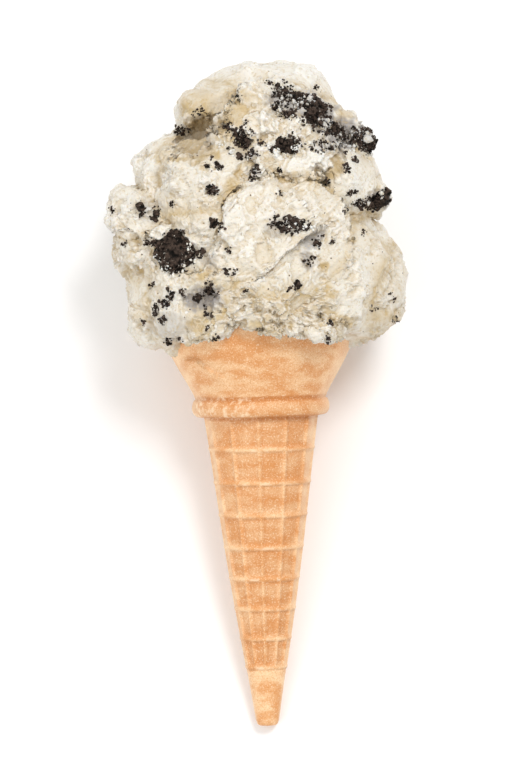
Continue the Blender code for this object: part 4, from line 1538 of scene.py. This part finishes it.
    def frost(self, points: np.ndarray, found: WaferPrint) -> np.ndarray:
        """Painted highlight: pale dashes on the front of the rings' edges, and paler sides as seen from the
        front; also pale patches on the front-left of the bead.
        """
        x, y, _ = points.T.reshape(3, -1, self.columns)
        away = np.hypot(x, y)
        broken = smoothstep(*self.dash_levels, self.dashes.at(points)).reshape(x.shape)
        patchy = smoothstep(*self.patch_levels, self.patches.at(points)).reshape(x.shape)
        left = smoothstep(*self.left_levels, x) * (y < 0)
        dashes = self.dash_pale * (found.edge * found.on_taper) * smoothstep(*self.front_levels, -y / away)
        sides = self.side_pale * smoothstep(*self.side_levels, np.abs(x) / away)
        return np.clip(dashes * broken + self.patch_pale * found.collar * left * patchy + sides, 0, 1)

    def fold_cup(self) -> None:
        """Add the wafer's own fold on the left of the cup, and painted shade at its foot."""
        rise, foot, _ = self.cup_fold.step(self.surface.points)
        self.surface.points = self.surface.points + self.surface.normals() * rise[:, None]
        # Painted shade at the foot of the fold.
        self.surface.values["deep"] = np.maximum(self.surface.values["deep"], self.fold_tone * foot)

    def dress(self, lying: Lying, material: bpy.types.Material) -> None:
        """Make the object, in place of the solid."""
        made = mesh_object("wafer_shell", self.surface, lying, material)
        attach(made, BODY)
        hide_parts("wafer_cone")


# ---------- Biscuit ----------


# How much cream is smeared over a piece, from 0 to 1; none where it isn't named.
CREAMY = {"biscuit_crown": 1.0, "biscuit_shoulder": 1.0, "biscuit_side": 0.4, "biscuit_front": 0.4}


@dataclass
class BiscuitPiece:
    """One broken piece: a squared ball on the main axes of its solid, crumbly all over."""

    node: str
    seed: int
    creamy: float = 0.0
    grain: float = 0.22
    squareness: float = 0.7

    # Its crumbly surface: broad noise, shaken chunks of a middle height, and how far all of it is sunk.
    broad: float = 1.3
    broad_cell: float = 2.6
    chunk: float = 0.7
    chunk_cell: float = 0.95
    chunk_shake: Noise = Noise(0.9, 7, strength=0.3)
    middle_chunk: float = 0.55
    sunk: float = 0.25

    # Measured on its solid.
    middle: np.ndarray | None = None
    axes: np.ndarray | None = None
    half_sizes: np.ndarray | None = None
    surface: Surface | None = None

    def measure(self, lying: Lying) -> None:
        """Find the solid's middle, main axes (thinnest first) and half sizes."""
        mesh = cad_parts[self.node].data
        places = np.empty(len(mesh.vertices) * 3)
        mesh.vertices.foreach_get("co", places)
        corners = lying.upright(places.reshape(-1, 3))
        middle = corners.mean(axis=0)
        _, self.axes = np.linalg.eigh(np.cov((corners - middle).T))
        spread = (corners - middle) @ self.axes
        self.half_sizes = (spread.max(axis=0) - spread.min(axis=0)) / 2
        self.middle = middle + self.axes @ ((spread.max(axis=0) + spread.min(axis=0)) / 2)

    def build(self, lying: Lying) -> None:
        """Work out the surface: squared ball times half sizes, moved along its normals by crumbly noise."""
        self.measure(lying)
        rows = int(math.pi * self.half_sizes.mean() / self.grain)
        angles = np.linspace(0, math.pi, rows + 2)[1:-1]
        ball = polar_grid(angles, 2 * rows)
        points = (squared(ball, self.squareness) * self.half_sizes) @ self.axes.T + self.middle
        self.surface = Surface(points, *polar_faces(rows, 2 * rows)).turned_out()
        broad = Noise(self.broad_cell, self.seed, strength=self.broad).at(points)
        shaken = points + self.chunk_shake.at(points)[:, None]
        chunks = chunk_noise(shaken, self.chunk_cell, self.seed) - self.middle_chunk
        relief = broad - self.sunk + self.chunk * chunks
        self.surface.points = points + self.surface.normals() * relief[:, None]
        self.surface.values["creamy"] = np.full(len(points), self.creamy)

    def dress(self, lying: Lying, material: bpy.types.Material) -> None:
        """Make the object, in place of its solid."""
        made = mesh_object(self.node + "_crumb", self.surface, lying, material)
        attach(made, BODY)
        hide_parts(self.node)

    def outline(self, draw: np.random.Generator, count: int, inner: float, outer: float) -> np.ndarray:
        """Places round the piece, in its plane, from inner to outer times its half sizes."""
        turn = draw.uniform(0, math.tau, count)
        reach = draw.uniform(inner, outer, count)
        flat = np.stack((np.zeros(count), np.cos(turn) * reach, np.sin(turn) * reach), -1)
        return (flat * self.half_sizes) @ self.axes.T + self.middle


# ---------- Crumbs ----------


@dataclass
class ViewMap:
    """The foremost point of the surface in each small square, seen from the front (-1) or the back (1)."""

    surface: Surface
    side: int
    cell: float = 0.5
    low: np.ndarray = field(init=False)
    found: np.ndarray = field(init=False)

    def __post_init__(self) -> None:
        """Sort the points so that the foremost one of a square is written last."""
        flat = self.surface.points[:, (0, 2)]
        self.low = flat.min(axis=0)
        squares = self.squares(flat)
        self.found = np.full(squares.max(axis=0) + 1, -1)
        order = np.argsort(self.surface.points[:, 1] * self.side)
        self.found[squares[order, 0], squares[order, 1]] = order

    def squares(self, flat: np.ndarray) -> np.ndarray:
        """Column and row of the square of each (x, z) place."""
        return ((flat - self.low) / self.cell).astype(int)

    def sites(self, flat: np.ndarray) -> np.ndarray:
        """Numbers of the surface's points at (x, z) places; places off the surface are dropped."""
        squares = self.squares(flat)
        inside = ((squares >= 0) & (squares < self.found.shape)).all(axis=1)
        squares = squares[inside]
        found = self.found[squares[:, 0], squares[:, 1]]
        return found[found >= 0]


def clustered(flat: np.ndarray, draw: np.random.Generator, size: int = 4, spread: float = 0.4) -> np.ndarray:
    """Keep one place in `size` and set a small cluster of twice `size` places about it."""
    centres = flat[::size]
    return np.repeat(centres, 2 * size, axis=0) + draw.normal(0, spread, (2 * size * len(centres), 2))


@dataclass(frozen=True)
class CrumbPatch(Spot):
    """A patch of crumbs: how many, their mean radius, and how far they spread, as a share of its size."""

    count: int = 10
    radius: float = 0.35
    spread: float = 0.52

    def places(self, draw: np.random.Generator) -> np.ndarray:
        """(x, z) places in small clusters, denser towards the middle, some of them strays."""
        turn = draw.uniform(0, math.tau, self.count)
        reach = np.abs(draw.normal(0, self.spread, self.count))
        flat = np.stack((np.cos(turn), np.sin(turn)), -1) * reach[:, None] * self.half_sizes
        return clustered(flat @ self.axes() + self.middle, draw)


CRUMB_PATCHES = (
    CrumbPatch((-39.5, 144.5), (0.8, 0.4), 10, 6),
    CrumbPatch((-31.5, 144.5), (1.0, 2.2), 10, 34, 0.4),
    CrumbPatch((-27.0, 143.5), (1.4, 0.9), -20, 16, 0.4),
    CrumbPatch((-28.0, 141.5), (1.1, 1.2), 30, 14, 0.4),
    CrumbPatch((-23.5, 145.5), (0.9, 0.5), 0, 7),
    CrumbPatch((-12.0, 149.0), (1.3, 1.9), -20, 34, 0.42),
    CrumbPatch((-11.5, 140.0), (2.4, 1.2), -35, 36, 0.4),
    CrumbPatch((-36.5, 135.0), (1.0, 0.5), 0, 6),
    CrumbPatch((-30.5, 135.0), (0.7, 1.2), 0, 10),
    CrumbPatch((-28.0, 135.0), (2.2, 1.0), -20, 26, 0.42),
    CrumbPatch((-15.0, 132.0), (2.8, 1.0), -5, 34, 0.38),
    CrumbPatch((-29.5, 123.5), (0.8, 0.5), 0, 6),
    CrumbPatch((-24.0, 120.5), (1.2, 1.8), -20, 22, 0.38),
    CrumbPatch((-28.0, 116.5), (2.2, 2.0), 20, 46, 0.4),
    CrumbPatch((-25.5, 118.5), (1.4, 1.6), 40, 24, 0.4),
    CrumbPatch((-26.5, 113.5), (0.9, 0.8), 0, 9),
    CrumbPatch((-31.5, 113.5), (0.6, 0.5), 0, 4),
    CrumbPatch((-20.0, 121.5), (1.2, 0.9), -30, 12),
    CrumbPatch((-16.5, 120.0), (1.1, 1.1), 0, 16, 0.42),
    CrumbPatch((-13.0, 122.0), (2.4, 2.2), 20, 44, 0.34),
    CrumbPatch((-14.0, 116.0), (1.8, 1.0), -20, 16, 0.3),
    CrumbPatch((-24.5, 107.5), (1.4, 0.6), 20, 10, 0.42),
    CrumbPatch((-22.0, 108.5), (0.7, 0.4), 10, 5),
    CrumbPatch((-13.5, 112.5), (0.5, 1.3), -15, 7),
    CrumbPatch((-11.5, 109.0), (0.8, 0.6), 30, 6, 0.4),
    CrumbPatch((-7.5, 132.5), (0.6, 0.5), 0, 5, 0.4),
    CrumbPatch((-7.5, 127.0), (1.6, 1.0), -30, 16),
    CrumbPatch((-3.5, 121.5), (1.2, 1.4), 0, 9, 0.26),
    CrumbPatch((6.5, 154.0), (0.7, 0.5), 0, 5),
    CrumbPatch((-0.5, 153.0), (1.2, 2.6), -35, 26, 0.36),
    CrumbPatch((19.5, 151.0), (0.7, 0.7), 0, 6),
    CrumbPatch((7.0, 147.5), (0.4, 0.4), 0, 3),
    CrumbPatch((9.0, 138.5), (5.0, 2.8), 0, 60, 0.34),
    CrumbPatch((16.5, 134.5), (2.4, 1.4), 35, 26, 0.32),
    CrumbPatch((20.5, 134.5), (0.8, 0.6), 0, 6, 0.38),
    CrumbPatch((14.0, 129.5), (1.5, 2.0), 0, 16, 0.28),
    CrumbPatch((10.5, 123.0), (1.3, 1.1), 20, 20, 0.42),
    CrumbPatch((31.5, 144.0), (5.2, 1.3), 5, 70, 0.4),
    CrumbPatch((36.0, 147.5), (1.6, 2.0), 0, 26, 0.38),
    CrumbPatch((25.5, 147.5), (1.3, 1.2), -40, 14, 0.34),
    CrumbPatch((29.5, 137.0), (0.8, 0.6), 0, 5, 0.28),
    CrumbPatch((36.0, 119.5), (0.7, 0.4), -20, 4),
    CrumbPatch((37.5, 118.0), (0.4, 0.7), 20, 4),
    CrumbPatch((32.0, 115.5), (1.4, 0.5), 0, 5, 0.24),
    CrumbPatch((37.5, 112.5), (0.8, 1.0), 0, 6, 0.26),
    CrumbPatch((19.0, 111.5), (1.6, 0.6), 40, 8, 0.3),
    CrumbPatch((19.0, 108.0), (1.0, 0.5), 10, 8, 0.36),
    CrumbPatch((4.5, 178.5), (0.9, 0.4), 10, 6),
    CrumbPatch((17.5, 177.0), (0.7, 0.4), -30, 5),
    CrumbPatch((-4.0, 174.5), (0.9, 0.6), -30, 4, 0.26),
    CrumbPatch((8.0, 175.5), (3.6, 2.2), -15, 60, 0.42),
    CrumbPatch((12.0, 174.5), (7.5, 4.0), -25, 90, 0.4),
    CrumbPatch((9.0, 169.8), (4.0, 1.2), -12, 50, 0.4),
    CrumbPatch((17.0, 169.5), (6.0, 4.0), -35, 90, 0.42),
    CrumbPatch((22.5, 164.5), (3.6, 4.5), 20, 80, 0.4),
    CrumbPatch((29.0, 162.5), (4.4, 4.2), -20, 90, 0.4),
    CrumbPatch((16.5, 160.0), (2.4, 2.0), -45, 24, 0.32),
    CrumbPatch((9.5, 162.0), (3.8, 2.2), 5, 60, 0.34),
    CrumbPatch((-3.0, 163.0), (5.4, 3.4), -25, 80, 0.4),
    CrumbPatch((-4.5, 158.0), (1.3, 1.2), 0, 14, 0.42),
    CrumbPatch((-11.5, 158.0), (0.7, 0.7), 0, 4),
    CrumbPatch((-13.0, 155.5), (0.6, 0.8), 0, 5),
    CrumbPatch((-9.5, 155.0), (1.1, 1.0), 0, 12, 0.42),
    CrumbPatch((25.0, 154.5), (0.9, 1.6), -15, 14, 0.42),
    CrumbPatch((27.5, 157.0), (0.9, 0.5), 10, 5),
    CrumbPatch((-20.5, 166.0), (1.6, 2.4), -25, 40, 0.42),
    CrumbPatch((-16.0, 170.5), (3.0, 0.5), 32, 14, 0.28),
)


# Blobs of cream pressed over the biscuit of the crown.
CREAM_PATCHES = (
    CrumbPatch((13.5, 172.5), (6.0, 3.0), -30, 26, 0.34),
    CrumbPatch((20.5, 167.0), (4.0, 2.5), -45, 16, 0.34),
    CrumbPatch((24.0, 162.0), (1.5, 3.0), 20, 10, 0.38),
    CrumbPatch((30.5, 163.5), (3.5, 2.5), 0, 20, 0.36),
)


# A grain's dents and its stretch: how far they go, as shares of its radius.
DENTS = (0.65, 1.2)
STRETCH = (0.65, 1.25)


def crumb_surface(sites: np.ndarray, radii: np.ndarray, draw: np.random.Generator, rows: int = 3) -> Surface:
    """Small broken grains at the sites: balls of few faces, each stretched, turned and dented at random.

    Args:
        sites: the middle of each grain.
        radii: the radius of each grain.
        draw: where the random numbers come from.
        rows: rows of each ball; it has twice as many columns.

    Returns:
        All grains in one surface.
    """
    count = len(sites)
    ball = polar_grid(np.linspace(0, math.pi, rows + 2)[1:-1], 2 * rows)
    turns = np.linalg.qr(draw.normal(size=(count, 3, 3)))[0]
    turns *= np.sign(np.linalg.det(turns))[:, None, None]
    dents = draw.uniform(*DENTS, (count, len(ball), 1))
    stretch = draw.uniform(*STRETCH, (count, 1, 3))
    shapes = np.einsum("nij,nvj->nvi", turns, ball * dents * stretch) * radii[:, None, None]
    points = (shapes + sites[:, None, :]).reshape(-1, 3)
    quads, triangles = polar_faces(rows, 2 * rows)
    starts = len(ball) * np.arange(count)[:, None, None]
    surface = Surface(points, (quads + starts).reshape(-1, 4), (triangles + starts).reshape(-1, 3))
    return surface.turned_out()


@dataclass(frozen=True)
class RoundPieces:
    """Grains round the pieces: how many a piece, their radius, and from where to where on its half sizes."""

    count: int
    radius: float
    inner: float
    outer: float


@dataclass
class Crumbs:
    """Loose crumbs of biscuit, and flakes of cream over the edges of the pieces."""

    ice_cream: IceCream
    pieces: list[BiscuitPiece]
    patches: tuple[CrumbPatch, ...] = CRUMB_PATCHES
    cream_patches: tuple[CrumbPatch, ...] = CREAM_PATCHES

    # How large the crumbs are, and how many lie round a piece of the usual size, in clusters.
    crumb_scale: float = 0.8
    dark: RoundPieces = RoundPieces(95, 0.24, 0.75, 1.1)
    pale: RoundPieces = RoundPieces(24, 0.3, 0.8, 1.25)
    piece_size: float = 4.0
    cluster: int = 5
    cluster_spread: float = 0.45
    size_spread: float = 0.4
    proud: float = 0.2
    flake_dust: float = 0.5
    seed: int = 5

    # What they lie on, and the map of its front and of its back.
    under: Surface | None = None
    normals: np.ndarray | None = None
    front: ViewMap | None = None
    back: ViewMap | None = None
    surfaces: dict[str, Surface] = field(default_factory=dict)

    def grains(self, sites: list[np.ndarray], radii: list[float], draw: np.random.Generator) -> Surface:
        """Grow grains of different sizes at the surface's points, half sunk in it."""
        chosen = np.concatenate(sites)
        means = np.concatenate([np.full(len(found), radius) for found, radius in zip(sites, radii)])
        sizes = means * np.exp(draw.normal(0, self.size_spread, len(chosen)))
        places = self.under.points[chosen] + self.normals[chosen] * (self.proud * sizes[:, None])
        return crumb_surface(places, sizes, draw)

    def round_pieces(self, draw: np.random.Generator, kind: RoundPieces) -> list[np.ndarray]:
        """Sites in clusters along each piece's outline; larger pieces get more."""
        sites = []
        for piece in self.pieces:
            view = self.front if piece.middle[1] < HEART[1] else self.back
            count = int(kind.count * piece.half_sizes.mean() / self.piece_size)
            flat = piece.outline(draw, count, kind.inner, kind.outer)[:, (0, 2)]
            sites.append(view.sites(clustered(flat, draw, self.cluster, self.cluster_spread)))
        return sites

    def in_patches(self, draw: np.random.Generator, patches: Sequence[CrumbPatch]) -> list[np.ndarray]:
        """Sites in each patch, on the front."""
        return [self.front.sites(patch.places(draw)) for patch in patches]

    def build(self) -> None:
        """Find the sites on the ice cream and the pieces, and grow the grains there."""
        draw = np.random.default_rng(self.seed)
        cream = self.ice_cream.whole()
        bare = Surface(cream.points, cream.quads, cream.triangles)
        self.under = joined([bare, *(piece.surface for piece in self.pieces)])
        self.normals = self.under.normals()
        self.front, self.back = ViewMap(self.under, -1), ViewMap(self.under, 1)
        sites = self.in_patches(draw, self.patches) + self.round_pieces(draw, self.dark)
        radii = [patch.radius * self.crumb_scale for patch in self.patches]
        radii += [self.dark.radius] * len(self.pieces)
        self.surfaces["biscuit_crumbs"] = self.grains(sites, radii, draw)
        sites = self.round_pieces(draw, self.pale) + self.in_patches(draw, self.cream_patches)
        radii = [self.pale.radius] * len(self.pieces) + [patch.radius for patch in self.cream_patches]
        flakes = self.grains(sites, radii, draw)
        dust_and_shade = tone(self.ice_cream.smears, flakes.points, np.zeros(len(flakes.points)))
        flakes.values["dust_and_shade"] = self.flake_dust * dust_and_shade
        self.surfaces["cream_flakes"] = flakes

    def dress(self, lying: Lying, slot: str, name: str, material: bpy.types.Material) -> None:
        """Make the object of one kind."""
        made = mesh_object(name, self.surfaces[name], lying, material)
        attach(made, BODY)
        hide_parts("ice_cream")


# ---------- Studio ----------


@dataclass(frozen=True)
class Lamp:
    """A square soft light that faces the floor's middle: place and size in metres, power in watts."""

    name: str
    place: Triple
    power: float
    size: float

    def build(self) -> None:
        """Make the light."""
        light = bpy.data.lights.new(self.name, "AREA")
        light.energy = self.power
        light.size = self.size
        made = linked(self.name, light)
        made.location = self.place
        made.rotation_euler = Vector(self.place).to_track_quat("Z", "Y").to_euler()


@dataclass
class Studio:
    """The pale floor, the soft light and the camera."""

    floor_half: float = 3.0
    floor_colour: Colour = colour(0.98, 0.98, 0.98)
    floor_roughness: float = 0.9
    surround: Colour = colour(1, 1, 1)
    surround_strength: float = 0.7
    lamps: tuple[Lamp, ...] = (
        Lamp("key", (0.32, 0.34, 1.08), 5.7, 0.35),
        Lamp("fill", (-0.58, -0.3, 0.92), 3.3, 0.8),
    )
    lens_height: float = 24.0

    def build(self, lying: Lying) -> None:
        """Set up everything round the object."""
        self.floor()
        self.lights()
        self.camera(lying)

    def floor(self) -> None:
        """A wide pale plane at height 0."""
        mesh = bpy.data.meshes.new("floor")
        half = self.floor_half
        corners = [(-half, -half, 0), (half, -half, 0), (half, half, 0), (-half, half, 0)]
        mesh.from_pydata(corners, [], [(0, 1, 2, 3)])
        made = bpy.data.materials.new("floor")
        made.use_nodes = True
        shader = made.node_tree.nodes["Principled BSDF"]
        shader.inputs["Base Color"].default_value = self.floor_colour
        shader.inputs["Roughness"].default_value = self.floor_roughness
        mesh.materials.append(made)
        plane = linked("floor", mesh)

    def lights(self) -> None:
        """A soft light from the upper right, a weaker one from the left, and a bright surround."""
        world = bpy.data.worlds.new("surround")
        world.use_nodes = True
        background = world.node_tree.nodes["Background"]
        background.inputs["Color"].default_value = self.surround
        background.inputs["Strength"].default_value = self.surround_strength
        bpy.context.scene.world = world
        for lamp in self.lamps:
            lamp.build()

    def camera(self, lying: Lying) -> None:
        """A long lens over the cone, tilted and rolled as in the picture."""
        data = bpy.data.cameras.new("camera")
        data.sensor_fit = "VERTICAL"
        data.sensor_height = self.lens_height
        view_height = IMAGE_SIZE[1] * MM_PER_PIXEL * MM
        data.lens = self.lens_height * VIEW_DISTANCE / view_height
        made = linked("camera", data)
        lean = lying.tilt - VIEW_TILT
        away = Vector((0, -math.sin(lean), math.cos(lean)))
        target = Vector(lying.world(np.array([VIEW_MIDDLE]))[0])
        made.location = target + away * VIEW_DISTANCE
        made.rotation_mode = "QUATERNION"
        made.rotation_quaternion = away.to_track_quat("Z", "Y") @ Quaternion((0, 0, 1), VIEW_ROLL)
        bpy.context.scene.camera = made


def lying_from_frame(cone: WaferCone, tilt: float = math.radians(13.0)) -> Lying:
    """Find the tilt's shifts from the box of the cone's solid: its rim is its highest and furthest edge."""
    low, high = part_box("wafer_cone")
    side = cone.rim_radius * math.cos(cone.rib_turn)
    furthest = (side * math.sin(tilt) + cone.height * math.cos(tilt)) * MM
    highest = (side * math.cos(tilt) + cone.height * math.sin(tilt)) * MM
    return Lying(tilt, ((low[0] + high[0]) / 2, high[1] - furthest, high[2] - highest))


def main() -> None:
    """Build the sub-assemblies in order, dress them and set up the studio."""
    logging.basicConfig(level=logging.INFO, format="%(message)s")
    bpy.context.scene.view_settings.view_transform = "Standard"
    cone = WaferCone()
    lying = lying_from_frame(cone)
    groups = Finishes.make()
    cone.build()
    cone.dress(lying, WaferFinish().material(groups))
    ice_cream = IceCream()
    ice_cream.build()
    pale = CreamFinish().material(groups)
    ice_cream.dress(lying, pale)
    dark = BiscuitFinish().material(groups)
    pieces = []
    for seed, node in enumerate(sorted(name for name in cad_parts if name.startswith("biscuit"))):
        piece = BiscuitPiece(node, seed, CREAMY.get(node, 0.0))
        piece.build(lying)
        piece.dress(lying, dark)
        pieces.append(piece)
    crumbs = Crumbs(ice_cream, pieces)
    crumbs.build()
    crumbs.dress(lying, "biscuit", "biscuit_crumbs", dark)
    crumbs.dress(lying, "cream", "cream_flakes", pale)
    Studio().build(lying)


if __name__ == "__main__":
    main()
